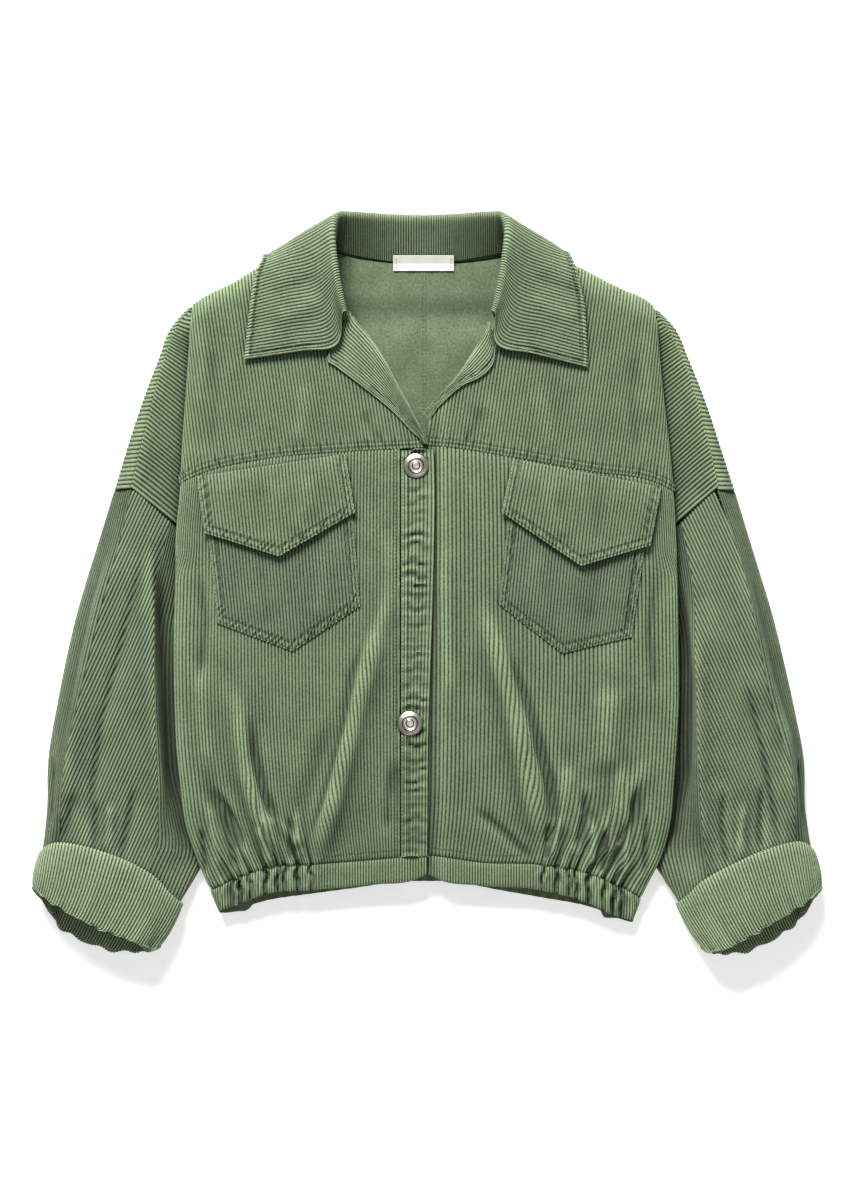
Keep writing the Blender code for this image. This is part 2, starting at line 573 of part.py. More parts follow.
# Across the sleeve: outline, outer ridge, middle, inner ridge and inner edge, for stations down it.
SLEEVE = {
    "r": table("o_out o_y o_z a_out a_y a_z b_out b_y b_z c_out c_y c_z i_out i_y i_z tuck_z",
               (283.5, 84.8, 9.5, 267, 84.4, 24, 248, 73.6, 19.5, 232, 55, 12.5, 216, 38, 7, 9),
               (297.9, 36.9, 9.5, 278.1, 29.7, 29, 255.6, 12.6, 30, 245, -1.8, 23, 213.3, -26, 4.8, 11),
               (315.9, -23.4, 10, 293.4, -34.2, 33, 267.3, -52.2, 35, 248, -66.6, 29, 212.4, -91.8, 4.8, 11.5),
               (330.3, -87.3, 10, 308.7, -99.9, 35, 278.1, -116.1, 37, 246, -132.3, 31, 210.6, -153.9, 4.8, 11.5),
               (342, -153.9, 11, 323.1, -162.9, 36, 288.9, -177.3, 38, 243, -198, 32, 205.2, -216, 4.8, 11),
               (343.5, -203.4, 14, 329, -207, 36, 294.3, -216, 39, 242.1, -234, 34, 203.6, -250.2, 9, 20)),
    "l": table("o_out o_y o_z a_out a_y a_z b_out b_y b_z c_out c_y c_z i_out i_y i_z tuck_z",
               (279, 84, 9.5, 262.8, 83.3, 24, 245, 73, 19.5, 230, 55.5, 12.5, 215.5, 38, 7, 9),
               (293.4, 36.9, 9.5, 279, 29.7, 29, 256.5, 12.6, 30, 240, -3.6, 23, 211.5, -26, 4.8, 11),
               (311.4, -23.4, 10, 290.7, -32.4, 33, 265.5, -50.4, 35, 243, -66.6, 29, 210.6, -91.8, 4.8, 11.5),
               (326.7, -87.3, 10, 304.2, -97.2, 35, 277.2, -113.4, 37, 244.8, -134.1, 31, 208.8, -153.9, 4.8, 11.5),
               (340.2, -153.9, 11, 322.2, -161.1, 36, 288.9, -176.4, 38, 247.5, -198, 32, 206, -216, 4.8, 11),
               (342, -203.4, 14, 329.4, -207, 36, 292.5, -216, 39, 249.3, -234, 34, 205, -248.4, 9, 20))}
# The cuff's upper edge and its mouth, where the upper layer is turned back further than the lower.
CUFF = {
    "r": table("top_out top_y top_z mouth_out mouth_y low_out low_y",
               (350.5, -241, 19, 356.4, -280, 350.5, -288), (332.1, -230.5, 37, 337.5, -282.6, 344.7, -301.5),
               (294.3, -236.5, 45, 303.3, -299.7, 308.7, -317.7), (251.1, -255.6, 41, 262.8, -316.8, 278.1, -328.5),
               (219.8, -287.1, 19, 245.7, -333.9, 247.5, -336)),
    "l": table("top_out top_y top_z mouth_out mouth_y low_out low_y",
               (350.5, -240, 19, 356.6, -280, 350, -289), (333, -229.5, 37, 335.7, -285.3, 342.9, -298.8),
               (295.2, -239.4, 45, 304.2, -302.4, 308.7, -318.6), (252, -261, 41, 270, -322.2, 279.9, -330.3),
               (224.1, -287.1, 19, 252.9, -334.8, 254.7, -338.4))}


def closed_curve(points, samples, soften=0.0):
    """Smooth closed rings through control points: (ring, control, xyz) to (ring, sample, xyz)."""
    count = points.shape[1]
    t = np.arange(count * samples) / samples
    i = t.astype(int)
    f = (t - i)[None, :, None]
    p0, p1, p2, p3 = (points[:, (i + k) % count] for k in (-1, 0, 1, 2))
    m1, m2 = (p2 - p0) / 2, (p3 - p1) / 2
    ring = ((1 + 2 * f) * (1 - f) ** 2 * p1 + f * (1 - f) ** 2 * m1
            + f * f * (3 - 2 * f) * p2 - f * f * (1 - f) * m2)
    ring = ring * (1 - soften) + (np.roll(ring, 1, axis=1) + np.roll(ring, -1, axis=1)) * soften / 2
    ring[..., 2] = np.maximum(ring[..., 2], 0.0)
    return ring


def ring_controls(inner, tuck, c, b, a, outline, low_inner, low_outer):
    """Control points round a flattened tube: over the top from the inner edge, back along the floor."""
    third = [low_outer + (low_inner - low_outer) * k for k in (0.33, 0.67)]
    return np.stack([inner, tuck, c, b, a, outline, low_outer, *third, low_inner], 1)


def sleeve_controls(side):
    """Control rings of the sleeve above its cuff."""
    s = SLEEVE[side]
    o, a, b, c, i = (np.stack([s[k + "_out"], s[k + "_y"], s[k + "_z"]], -1) for k in "oabci")
    tuck = i + (c - i) * 0.45
    tuck[:, 2] = s["tuck_z"]
    across = unit((o - i) * [1, 1, 0])
    flat = np.array([1, 1, 0.0])
    return ring_controls(i, tuck, c, b, a, o, i * flat + across * 5, o * flat - across * 9)


def cuff_controls(side):
    """Control rings of the cuff's outer layer at its upper edge and at its mouth."""
    s = CUFF[side]
    top = np.stack([s["top_out"], s["top_y"], s["top_z"]], -1)
    mouth = np.stack([s["mouth_out"], s["mouth_y"], s["top_z"] * [1, 1.05, 1.02, 1.05, 1]], -1)
    low = np.stack([s["low_out"], s["low_y"], 0 * s["low_y"]], -1)
    flat = np.array([1, 1, 0.0])
    rings = []
    for upper, under in ((top, top * flat), (mouth, low)):
        o, a, b, c, i = upper
        tuck = i * 0.72 + c * 0.28 + [0, 0, 6.0]
        across = unit((o - i) * flat)
        chain = [i, tuck, c, b, a, o, under[0] - across * 13, under[1] * 0.6 + under[2] * 0.4,
                 under[3] * 0.6 + under[2] * 0.4, under[4] + across * 12]
        rings.append(np.stack(chain))
    return np.stack(rings)


def cuff_outer(side, samples=2, rows=CUFF_ROWS):
    """Outer layer of a cuff, from its free upper edge to the fold, with its normals."""
    rings = closed_curve(cuff_controls(side), samples, 0.6)
    t = np.linspace(0, 1, rows)[:, None, None]
    grid = rings[:1] * (1 - t) + rings[1:] * t
    middle = grid.mean(axis=1, keepdims=True)
    swell = 1 + 0.035 * np.sin(math.pi * np.clip(t, 0, 1)) * [1, 1, 1]
    grid = middle + (grid - middle) * swell
    grid[..., 2] -= grid[..., 2].min()
    ahead, behind = np.roll(grid, -1, axis=1), np.roll(grid, 1, axis=1)
    normal = unit(np.cross(np.gradient(grid, axis=0), ahead - behind))
    return grid, normal


def cuff_grid(side, samples=2):
    """Outer layer, fold and inner layer of a cuff."""
    outer, normal = cuff_outer(side, samples)
    axis = unit(outer[-1:] - outer[:1]) * [1, 1, 0]
    radius = CUFF_WALL / 2
    edge, out = outer[-1], normal[-1]
    away = unit(axis[0])
    fold = [edge - out * radius * (1 - math.cos(a)) + away * radius * math.sin(a)
            for a in (math.pi * k / 4 for k in (1, 2, 3))]
    inner = [outer[r] - normal[r] * CUFF_WALL for r in range(CUFF_ROWS - 1, 1, -1)]
    return np.stack(list(outer) + fold + inner)


def sleeve_grid(side, samples=2, rows=13):
    """Outer face of a sleeve, from the armhole into the cuff."""
    rings = closed_curve(sleeve_controls(side), samples)
    outer, normal = cuff_outer(side, samples)
    inside = [outer[r] - normal[r] * (SLEEVE_IN_CUFF + extra) for r, extra in ((0, 0.8), (1, 0.2))]
    end = (outer[1] * 0.3 + outer[2] * 0.7) - (normal[1] * 0.3 + normal[2] * 0.7) * SLEEVE_IN_CUFF
    stations = np.concatenate([rings, np.stack(inside + [end])])
    knots = np.array([0, 1, 2, 3, 4, 5, 5.7, 6.1, 6.4])
    at = np.concatenate([np.linspace(0, 5, rows - 4), [5.35, 5.7, 6.1, 6.4]])
    flat = stations.reshape(len(stations), -1)
    grid = np.stack([curve(knots, flat[:, k], at) for k in range(flat.shape[1])], -1)
    grid = grid.reshape(len(at), -1, 3)
    grid[..., 2] = np.maximum(grid[..., 2], 0.0)
    return grid


def build_sleeve(side, cloth):
    turn = "l" if side == "r" else "r"
    wall("sleeve_" + side, [facing_up(signed(sleeve_grid(side), side), turn)], cloth["sleeve"], closed=True)
    wall("cuff_" + side, [facing_up(signed(cuff_grid(side), side), turn)], cloth["cuff"], closed=True,
         thickness=1.9)


# ---------------------------------------------------------------- hem, placket and lapels

GATHER_PITCH = 10.5
GATHER_DEPTH = 1.0
GATHER_FROM = 98.0     # the hem is flat beside the placket and gathered from here round the side
HEM_RUN = 66.0


def gathers(cloth, first, last):
    """Height of the elastic's gathers, uneven from one to the next, between two cloth coordinates."""
    beat = 1 + 0.3 * np.sin(cloth * 0.31) + 0.2 * np.sin(cloth * 0.173 + 1)
    ends = ease((cloth - first) / 12) * ease((last - cloth) / 12)
    return GATHER_DEPTH * beat * ends * np.sin(2 * math.pi * cloth / GATHER_PITCH)


def hem_grid(side, rows=2, per_wave=4):
    """Outer face of the hem band under a front, round to the side seam."""
    seam_cloth, seam_y = hem_seam(side)
    start = {"r": 0.0, "l": 1.2}[side]
    flat = np.linspace(start, GATHER_FROM, 6)[:-1]
    edge = float(curve(EDGE["y"], EDGE[side], -278.0))
    last = edge - 11
    waves = np.arange(GATHER_FROM, last, GATHER_PITCH / per_wave)
    end = float(edge_cloth(side, -283.0, HEM_RUN))
    cloth = np.concatenate([flat, waves, np.linspace(last, end, 8)])[None]
    v = np.linspace(0, 1, rows + 1)[:, None]
    depth = curve(HEM_DEPTH["out"], HEM_DEPTH[side], np.minimum(cloth, edge - 2))
    depth = depth + (HEM_BAND - depth) * ease((cloth - edge - 3) / 16)
    y = np.interp(cloth, seam_cloth, seam_y) - GAP - 0.4 * ease((cloth - last) / 10) - depth * (1 - v)
    raised = gathers(cloth, GATHER_FROM, last) * (0.7 + 0.3 * np.sin(math.pi * v))
    return front_point(side, cloth, y) + front_normal(side, cloth, y) * raised[..., None]


def back_hem_seam(side):
    """Columns of the back along its hem seam, and the seam's y there."""
    hem = curve(HEM_BACK["out"], HEM_BACK[side], 170.0) + HEM_BAND
    out = np.linspace(0.2, float(back_edge(side, hem)), BACK_STEPS + 1)
    return out, curve(HEM_BACK["out"], HEM_BACK[side], out) + HEM_BAND


def hem_back_grid(rows=2, per_wave=3):
    """Outer (lower) face of the hem band at the back."""
    pitch = 12.0
    across = np.linspace(-1, 1, 2 * int(166 / pitch * per_wave) + 1)[None]
    v = np.linspace(0, 1, rows + 1)[:, None]
    side_y = (-293 + 22 * v) + 0 * across
    right, left = back_edge("r", side_y) + 1, back_edge("l", side_y) + 1
    x = across * np.where(across < 0, right, left)
    seam = np.where(x < 0, np.interp(-x, *back_hem_seam("r")), np.interp(x, *back_hem_seam("l")))
    wave = 1 + np.sin(2 * math.pi * across * 166 / pitch + 0.8 * np.sin(across * 8))
    z = 0.7 * wave * ease((0.97 - np.abs(across)) / 0.09) + 0 * v
    return np.stack([x, seam - GAP - (HEM_BAND - GAP) * (1 - v), z], -1)


def build_hem(cloth):
    for side in ("r", "l"):
        wall("hem_" + side, [facing_up(hem_grid(side), side)], cloth["front"], thickness=1.7)
    wall("hem_back", [hem_back_grid()[::-1]], cloth["front"])


def placket_top(y, out):
    """Height of the placket's face, doubled cloth over the front."""
    return front_height("r", out, y) + 1.0


def placket_grid(rows=22):
    """Outer face of the placket, from the hem band to the yoke seam."""
    v = np.linspace(0, 1, rows + 1)[:, None]
    seam = line(YOKE_SEAM, "r")
    y = -242.6 * (1 - v) + 122.0 * v
    free = -curve(PLACKET_EDGE["y"], PLACKET_EDGE["x"], y)
    out = np.hstack([free, free + 1.5, free * 0.5 + 7, 0 * free + PLACKET_SEAM - 2, 0 * free + PLACKET_SEAM])
    drop = np.array([-0.8, 0, 0, 0, -0.6])
    y = y + (seam(out) - 123.6) * v
    return signed(np.stack([out, y, placket_top(y, out) + drop], -1), "r")


def lapel_grid(side, rows=8, steps=3):
    """Outer face of a lapel: round the roll and out to its free edge."""
    roll, edge = ROLL[side], LAPEL_EDGE[side]
    knots = np.arange(len(roll["out"]), dtype=float)
    t = np.linspace(0, knots[-1], rows + 1)
    start = np.stack([curve(knots, roll[k], t * (1 if side == "r" else 0.92)) for k in ("out", "y")], -1)
    end = np.stack([curve(knots, edge[k], t) for k in ("out", "y")], -1)
    ahead = unit(np.gradient(start, axis=0))
    away = unit(unit(end - start) + np.stack([ahead[:, 1], -ahead[:, 0]], -1))
    base = front_height(side, start[:, 0], start[:, 1])
    lines = []
    for across, rise in ((2.0, -2.4), (0.7, -2.0), (0.0, -0.3), (0.6, 1.7), (2.6, 2.8)):
        plan = start + away * across
        lines.append(np.column_stack([plan, base + rise]))
    for share in np.linspace(0, 1, steps + 1)[1:]:
        plan = (start + away * 2.6) * (1 - share) + end * share
        lines.append(np.column_stack([plan, front_height(side, plan[:, 0], plan[:, 1]) + 2.8]))
    return signed(np.stack(lines, 1), side)


# ---------------------------------------------------------------- pockets, buttons and label

POCKET_RISE = 2.6
FLAP_RISE = 5.1
# Corners of the pockets and flaps: inner and outer top, inner and outer low corner, and the point.
POCKETS = {
    "pocket_r": ("r", (68, 88), (200.5, 78), (59.4, -17.6), (188.1, -33.3), (120.6, -58.5)),
    "pocket_l": ("l", (74.9, 88), (201, 71), (63.9, -16.2), (184.1, -45.5), (121.2, -60.3)),
    "flap_r": ("r", (72.5, 118.4), (207, 98.2), (63.9, 66), (199.8, 47.7), (132.3, 26.5)),
    "flap_l": ("l", (76.3, 114), (211, 88.6), (66.2, 66), (200.3, 36.5), (137.5, 18))}
# Profile of a snap button from its middle to its edge.
BUTTON = table("radius height", (0.01, 4.2), (3.0, 4.0), (3.8, 3.1), (5.2, 3.0), (6.3, 3.9), (7.3, 3.3),
               (10.3, 2.3), (11.3, 1.0), (10.9, 0))
BUTTONS = {"button_top": (-9.9, 108.0), "button_low": (-15.3, -122.9)}
LABEL = table("x0 x1 y0 y1", (-30.6, 24.3, 285.3, 298.8))


def pointed_grid(name, rise, top_rise=None, rows=5, steps=(5, 5)):
    """Outer face of a pocket or flap with a pointed lower edge, raised from the front under it."""
    side, inner_top, outer_top, inner_low, outer_low, tip = (np.array(c) if n else c
                                                             for n, c in enumerate(POCKETS[name]))
    share = (tip[0] - inner_low[0]) / (outer_low[0] - inner_low[0])
    u = np.concatenate([np.linspace(0, share, steps[0] + 1), np.linspace(share, 1, steps[1] + 1)[1:]])[:, None]
    low = np.where(u <= share, inner_low + (tip - inner_low) * u / share,
                   tip + (outer_low - tip) * (u - share) / (1 - share))
    high = inner_top + (outer_top - inner_top) * u
    v = np.linspace(0, 1, rows + 1)[:, None, None]
    plan = low[None] * (1 - v) + high[None] * v
    cloth, y = plan[..., 0], plan[..., 1]
    lift = rise + ((rise if top_rise is None else top_rise) - rise) * ease((v[..., 0] - 0.72) / 0.28)
    return front_point(side, cloth, y) + front_normal(side, cloth, y) * lift[..., None]


def build_trim(cloth, metal, label):
    for name in POCKETS:
        side = name[-1]
        flap = name.startswith("flap")
        grid = pointed_grid(name, FLAP_RISE, POCKET_RISE) if flap else pointed_grid(name, POCKET_RISE)
        wall(name, [facing_up(grid, side)], cloth["flap"], thickness=1.8)
    for name, (x, y) in BUTTONS.items():
        around = np.linspace(0, 2 * math.pi, 13)
        base = float(placket_top(y + BUTTON_RADIUS * np.sin(around), -x + BUTTON_RADIUS * np.cos(around)).max()) + 0.3
        build_button(name, x, y, base, metal)
    build_label(label)


def build_button(name, x, y, base, metal, segments=16):
    """A domed snap cap with a raised ring, turned about its own axis."""
    points, faces = [], []
    rings = list(zip(BUTTON["radius"], BUTTON["height"]))[1:]
    for radius, height in rings:
        for k in range(segments):
            angle = 2 * math.pi * k / segments
            points.append((x + radius * math.cos(angle), y + radius * math.sin(angle), base + height))
    for r in range(len(rings) - 1):
        for k in range(segments):
            e = (k + 1) % segments
            a, b = r * segments, (r + 1) * segments
            faces.append((a + k, b + k, b + e, a + e))
    top, low = len(points), len(points) + 1
    points += [(x, y, base + BUTTON["height"][0]), (x, y, base)]
    last = (len(rings) - 1) * segments
    for k in range(segments):
        e = (k + 1) % segments
        faces += [(top, k, e), (low, last + e, last + k)]
    add_object(name, points, faces, metal)


def build_label(label):
    """The blank neck label, across the seam of the collar's stand."""
    x = np.linspace(LABEL["x0"][0], LABEL["x1"][0], 6)[None]
    y = np.array([LABEL["y0"][0], 291.5, LABEL["y1"][0]])[:, None]
    z = np.array([8.2, 8.6, 11.6])[:, None]
    grid = np.stack(np.broadcast_arrays(x, y, z), -1).astype(float)
    wall("label", [grid], label, thickness=0.8)


# ---------------------------------------------------------------- start

def clear_scene():
    for obj in list(bpy.data.objects):
        bpy.data.objects.remove(obj, do_unlink=True)


def main():
    clear_scene()
    cloth = {"yoke": finish("yoke_corduroy", (0.10, 0.14, 0.08), 0.9),
             "front": finish("front_corduroy", (0.13, 0.18, 0.10), 0.9),
             "sleeve": finish("sleeve_corduroy", (0.10, 0.14, 0.08), 0.9),
             "cuff": finish("cuff_corduroy", (0.25, 0.32, 0.20), 0.9),
             "flap": finish("flap_corduroy", (0.16, 0.22, 0.13), 0.9),
             "collar": finish("collar_corduroy", (0.18, 0.24, 0.14), 0.9)}
    for side in ("r", "l"):
        build_fronts(side, cloth)
        build_back(side, cloth)
        build_sleeve(side, cloth)
        wall("lapel_" + side, [facing_up(lapel_grid(side), side)], cloth["collar"], thickness=1.8)
    build_collar(cloth)
    build_hem(cloth)
    wall("placket_r", [facing_up(placket_grid(), "r")], cloth["front"])
    build_trim(cloth, finish("snap_metal", (0.35, 0.33, 0.30), 0.3, 1.0), finish("label_cotton", (0.9, 0.88, 0.8), 0.8))


main()
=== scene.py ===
"""A cropped corduroy jacket, lying flat on its back with its fronts snapped together.

Run as a script, it dresses the jacket's CAD pieces: every piece of cloth becomes a closed
shell whose columns follow its wales, with its seams, gathers and stitches.
Tables are in millimetres. "r" and "l" are the wearer's right and left; the right side
lies at -X. "out" is the distance from the centre line, positive towards the side seams.
"""
import math

import bpy
import mathutils
import numpy as np
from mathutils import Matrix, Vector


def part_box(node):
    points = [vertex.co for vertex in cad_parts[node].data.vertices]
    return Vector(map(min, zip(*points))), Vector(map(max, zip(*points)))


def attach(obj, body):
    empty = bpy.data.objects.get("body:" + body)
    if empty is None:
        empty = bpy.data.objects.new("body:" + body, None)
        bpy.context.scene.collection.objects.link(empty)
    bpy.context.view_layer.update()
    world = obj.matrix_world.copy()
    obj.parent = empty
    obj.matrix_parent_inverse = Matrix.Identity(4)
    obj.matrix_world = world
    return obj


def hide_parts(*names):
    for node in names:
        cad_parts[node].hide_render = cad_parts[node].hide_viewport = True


bl_info = {
    "name": "Cropped corduroy jacket",
    "version": (1, 0, 0),
    "blender": (4, 5, 0),
    "location": "3D View > Sidebar > Jacket",
    "description": "Builds the cloth, sewing and snap buttons of a cropped corduroy jacket",
    "category": "Object",
}

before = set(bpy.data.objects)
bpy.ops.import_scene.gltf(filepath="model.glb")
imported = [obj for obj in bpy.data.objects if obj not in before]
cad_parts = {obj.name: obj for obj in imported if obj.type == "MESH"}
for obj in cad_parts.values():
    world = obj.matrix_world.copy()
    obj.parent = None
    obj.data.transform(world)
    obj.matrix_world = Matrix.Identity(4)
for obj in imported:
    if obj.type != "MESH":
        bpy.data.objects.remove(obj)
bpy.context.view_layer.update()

MM = 0.001
GAP = 0.3              # between pieces at a seam
SIGN = {"r": -1.0, "l": 1.0}

CURL_START = 22.0      # the fronts start to turn under this far from the folded edge
FOLD_RUN = 44.0        # cloth from there to the bottom of the fold over the shoulder
SIDE_RUN = 69.0        # cloth from there to the side seam
UNDERARM_Y = 34.0      # the side seam ends here, under the arm


def table(columns, *rows):
    """Named columns from short rows."""
    return {name: np.array([row[i] for row in rows], float) for i, name in enumerate(columns.split())}


# Folded side edge of the body, from the hem up.
EDGE = table("y r l",
             (-300, 186, 187), (-272, 197, 198), (-246, 208, 211), (-218, 217.4, 219),
             (-182, 222.3, 222.5), (-146, 225.9, 225), (-100, 227.8, 227.2), (-50, 228.3, 226.8),
             (0, 227, 226), (50, 226, 224.3), (85, 222.8, 222.3), (126, 221, 219),
             (160, 218.7, 215), (210, 215.3, 210), (250, 213, 207))
# How the fronts turn under at that edge: cloth used, distance in from the edge, share of the height.
CURL = table("run inward share",
             (0, 22, 1.0), (10, 12, 0.97), (18.5, 4, 0.87), (23, 0.6, 0.76), (26.5, 0, 0.65),
             (31, 1.5, 0.52), (39, 8, 0.36), (44, 12.4, 0.3), (52, 19, 0.19), (63, 30, 0.05), (69, 36, 0))
SEAM_LEVEL = 2.5       # the fronts meet the back this high above the floor
# Height of the fronts above the floor, at the centre and at the start of the curl.
HEIGHT = table("y centre side",
               (-300, 20, 19), (-250, 25, 23), (-200, 31, 29), (-100, 36, 32), (0, 37, 32),
               (100, 36, 30), (160, 33, 28), (220, 29, 26), (260, 26, 24), (305, 22, 20))
YOKE_SEAM = table("out r l", (-20, 124, 125), (0, 124, 126), (15, 123.3, 125), (75, 120.5, 116),
                  (150, 113.5, 102.5), (205, 100.5, 93.5), (224, 92, 85))
HEM_TOP = table("out r l", (-2, -242.5, -242.5), (10, -243.3, -243.5), (50, -246.6, -249),
                (100, -250.7, -250.7), (145, -253.8, -258.5), (170, -262.8, -268.5), (193, -273, -281))
HEM_DEPTH = table("out r l", (-2, 16, 16), (10, 21, 21), (50, 22.5, 21), (100, 23, 23),
                  (145, 23.5, 27), (170, 24, 29), (193, 22, 22))
# Lower edge of the hem at the back.
HEM_BACK = table("out r l", (0, -267.5, -267.5), (16, -267.5, -267.5), (68, -274, -276),
                 (105, -279, -282.5), (145, -285, -290), (175, -294, -300))
HEM_BAND = 22.5        # its depth at the back
# Shoulder line, from the side of the neck to the point where the shoulder drops.
SHOULDER = table("out r l", (85, 303, 303), (110, 299, 297), (137, 293, 289), (150, 289.5, 282.5),
                 (175, 275, 269.5), (202, 262, 257), (226, 246, 233))
BACK_NECK = table("out y", (0, 291), (40, 293), (70, 298), (85, 303))
# Front opening: the line where the lapel turns back, from the break up, and then the neckline.
ROLL = {"r": table("out y", (-1, 127.5), (7.2, 144.9), (22.5, 174.6), (41.4, 209.7), (54, 227.7),
                   (63.9, 239.4), (70.2, 248.4)),
        "l": table("out y", (-5, 155.5), (0.5, 160.5), (10.8, 171), (28.8, 191.7), (43.2, 214.2),
                   (53.1, 230.4), (55.8, 246.6))}
LAPEL_EDGE = {"r": table("out y", (5.5, 131.5), (14, 138.5), (32.4, 157.5), (58.5, 178.2), (81, 195.3),
                         (90, 202.5), (84.6, 217.8)),
              "l": table("out y", (-1, 150), (5, 154), (12.6, 162.9), (31.5, 179.1), (47.7, 186.3),
                         (59.4, 198), (62.1, 216))}
# Drop shoulder: the fold's bottom, the seam to the back, and the outline, for rows along the wales.
SHOULDER_SEAM = {"r": table("fold_y seam_out seam_y seam_z",
                            (45, 266.9, 87.6, 24), (84.6, 258.3, 124.2, 24), (131.4, 248, 164.7, 22),
                            (183.6, 237, 206.1, 18), (241, 219.5, 242.5, 14), (256, 208.5, 253.5, 12.5)),
                 "l": table("fold_y seam_out seam_y seam_z",
                            (43.2, 262.8, 86.4, 24), (84.6, 254.7, 124.2, 24), (131.4, 243.9, 164.7, 22),
                            (183.6, 230.8, 206.1, 18), (239, 210.5, 241, 14), (253, 201, 251.5, 12.5))}
OUTLINE = table("y r l", (85, 283.5, 279), (124, 271.8, 266.4), (165, 258.3, 252.9), (206, 243, 236.7),
                (235, 231.5, 223.5), (249, 219.5, 210), (258, 209, 201.5))
# Folds on the fronts: from (out0, y0) to (out1, y1), half width and height in the middle.
FRONT_FOLDS = {
    "r": ((35, -10, 70, -125, 8, 2.5), (70, -120, 99, -250, 9, 5), (88, -125, 118, -215, 10, -3.5),
          (172, -90, 166, -170, 12, 3), (166, -165, 130, -250, 9, 4.5), (196, -175, 168, -245, 8, -3.5),
          (205, 40, 214, -150, 14, -2.5)),
    "l": ((52, -15, 80, -120, 9, 3), (78, -115, 104, -235, 9, 5), (92, -140, 122, -220, 10, -3.5),
          (166, -40, 160, -150, 16, 3), (193, -160, 160, -260, 9, 4.5), (140, -180, 134, -245, 8, 3),
          (207, 40, 212, -150, 14, -2.5))}


def curve(knots, values, at):
    """A smooth line through the values, or the points, at the knots."""
    slopes = np.gradient(values, knots, axis=0)
    at = np.clip(np.asarray(at, float), knots[0], knots[-1])
    i = np.clip(np.searchsorted(knots, at, side="right") - 1, 0, len(knots) - 2)
    shape = at.shape + (1,) * (values.ndim - 1)
    step = (knots[i + 1] - knots[i]).reshape(shape)
    t = (at - knots[i]).reshape(shape) / step
    return ((1 + 2 * t) * (1 - t) ** 2 * values[i] + t * (1 - t) ** 2 * step * slopes[i]
            + t * t * (3 - 2 * t) * values[i + 1] - t * t * (1 - t) * step * slopes[i + 1])


def look_up(columns, key, at):
    """A column of a table where its first column has these values."""
    return curve(next(iter(columns.values())), columns[key], at)


def ease(t):
    """From 0 to 1 with level ends."""
    t = np.clip(t, 0, 1)
    return t * t * (3 - 2 * t)


def quarter(t):
    """Quarter of a circle: 0 to 1, steep at the start."""
    t = np.clip(t, 0, 1)
    return np.sqrt(1 - (1 - t) ** 2)


def fold_heights(side, out, y):
    """Sum of the soft ridges and troughs laid along their lines."""
    total = np.zeros(np.broadcast(out, y).shape)
    for out0, y0, out1, y1, width, rise in FRONT_FOLDS[side]:
        length = math.hypot(out1 - out0, y1 - y0)
        step_out, step_y = (out1 - out0) / length, (y1 - y0) / length
        t = ((out - out0) * step_out + (y - y0) * step_y) / length
        across = (y - y0) * step_out - (out - out0) * step_y
        ends = ease((t + 0.15) / 0.4) * ease((1.15 - t) / 0.4)
        total = total + rise * ends * np.exp(-(across / width) ** 2)
    return total


def shoulder_fall(side, out, y):
    """Share of the height left near the shoulder line, where the front goes over to the back."""
    below = look_up(SHOULDER, side, out) - y
    left = 0.46 - 0.24 * ease((out - 190) / 22)
    return np.where(out > 84, left + (1 - left) * quarter(below / 16), 1.0)


def front_height(side, out, y):
    """Height of the fronts' outer face where they lie open to view."""
    edge = look_up(HEIGHT, "side", y)
    height = edge + (look_up(HEIGHT, "centre", y) - edge) * (1 - np.clip(out / 205, 0, 1) ** 2)
    height = height + fold_heights(side, out, y) * ease((105 - y) / 40)
    height = height * shoulder_fall(side, out, y)
    return height - 4.5 * ease((16 - out) / 12) if side == "l" else height


def front_point(side, cloth, y):
    """A point of the fronts at a distance along the cloth from the centre line."""
    edge = look_up(EDGE, side, y)
    run = cloth - edge + CURL_START
    out = np.where(run > 0, edge - look_up(CURL, "inward", run), cloth)
    share = np.where(run > 0, look_up(CURL, "share", run), 1.0)
    height = front_height(side, np.where(run > 0, np.minimum(out, edge), cloth), y)
    level = SEAM_LEVEL + (height - SEAM_LEVEL) * share
    return np.stack(np.broadcast_arrays(SIGN[side] * out, y, level), axis=-1)


def edge_cloth(side, y, run=0.0):
    """The cloth coordinate that lies a given run past the start of the curl."""
    return look_up(EDGE, side, y) - CURL_START + run


def unit(v):
    """Vectors of length 1."""
    return v / np.maximum(np.linalg.norm(v, axis=-1, keepdims=True), 1e-9)


def raised_front(side, cloth, y, rise):
    """Points of the fronts' outer face, raised from it along its normals."""
    across = front_point(side, cloth + 1, y) - front_point(side, cloth - 1, y)
    along = front_point(side, cloth, y + 1) - front_point(side, cloth, y - 1)
    normal = unit(np.cross(across, along)) * SIGN[side]
    return front_point(side, cloth, y) + normal * rise[..., None]


def shares(*parts):
    """Positions from 0 to 1, in even steps up to each end: (end, steps) pairs."""
    starts = [0.0] + [end for end, _ in parts]
    return np.concatenate([[0.0]] + [np.linspace(start, end, steps + 1)[1:]
                                     for start, (end, steps) in zip(starts, parts)])


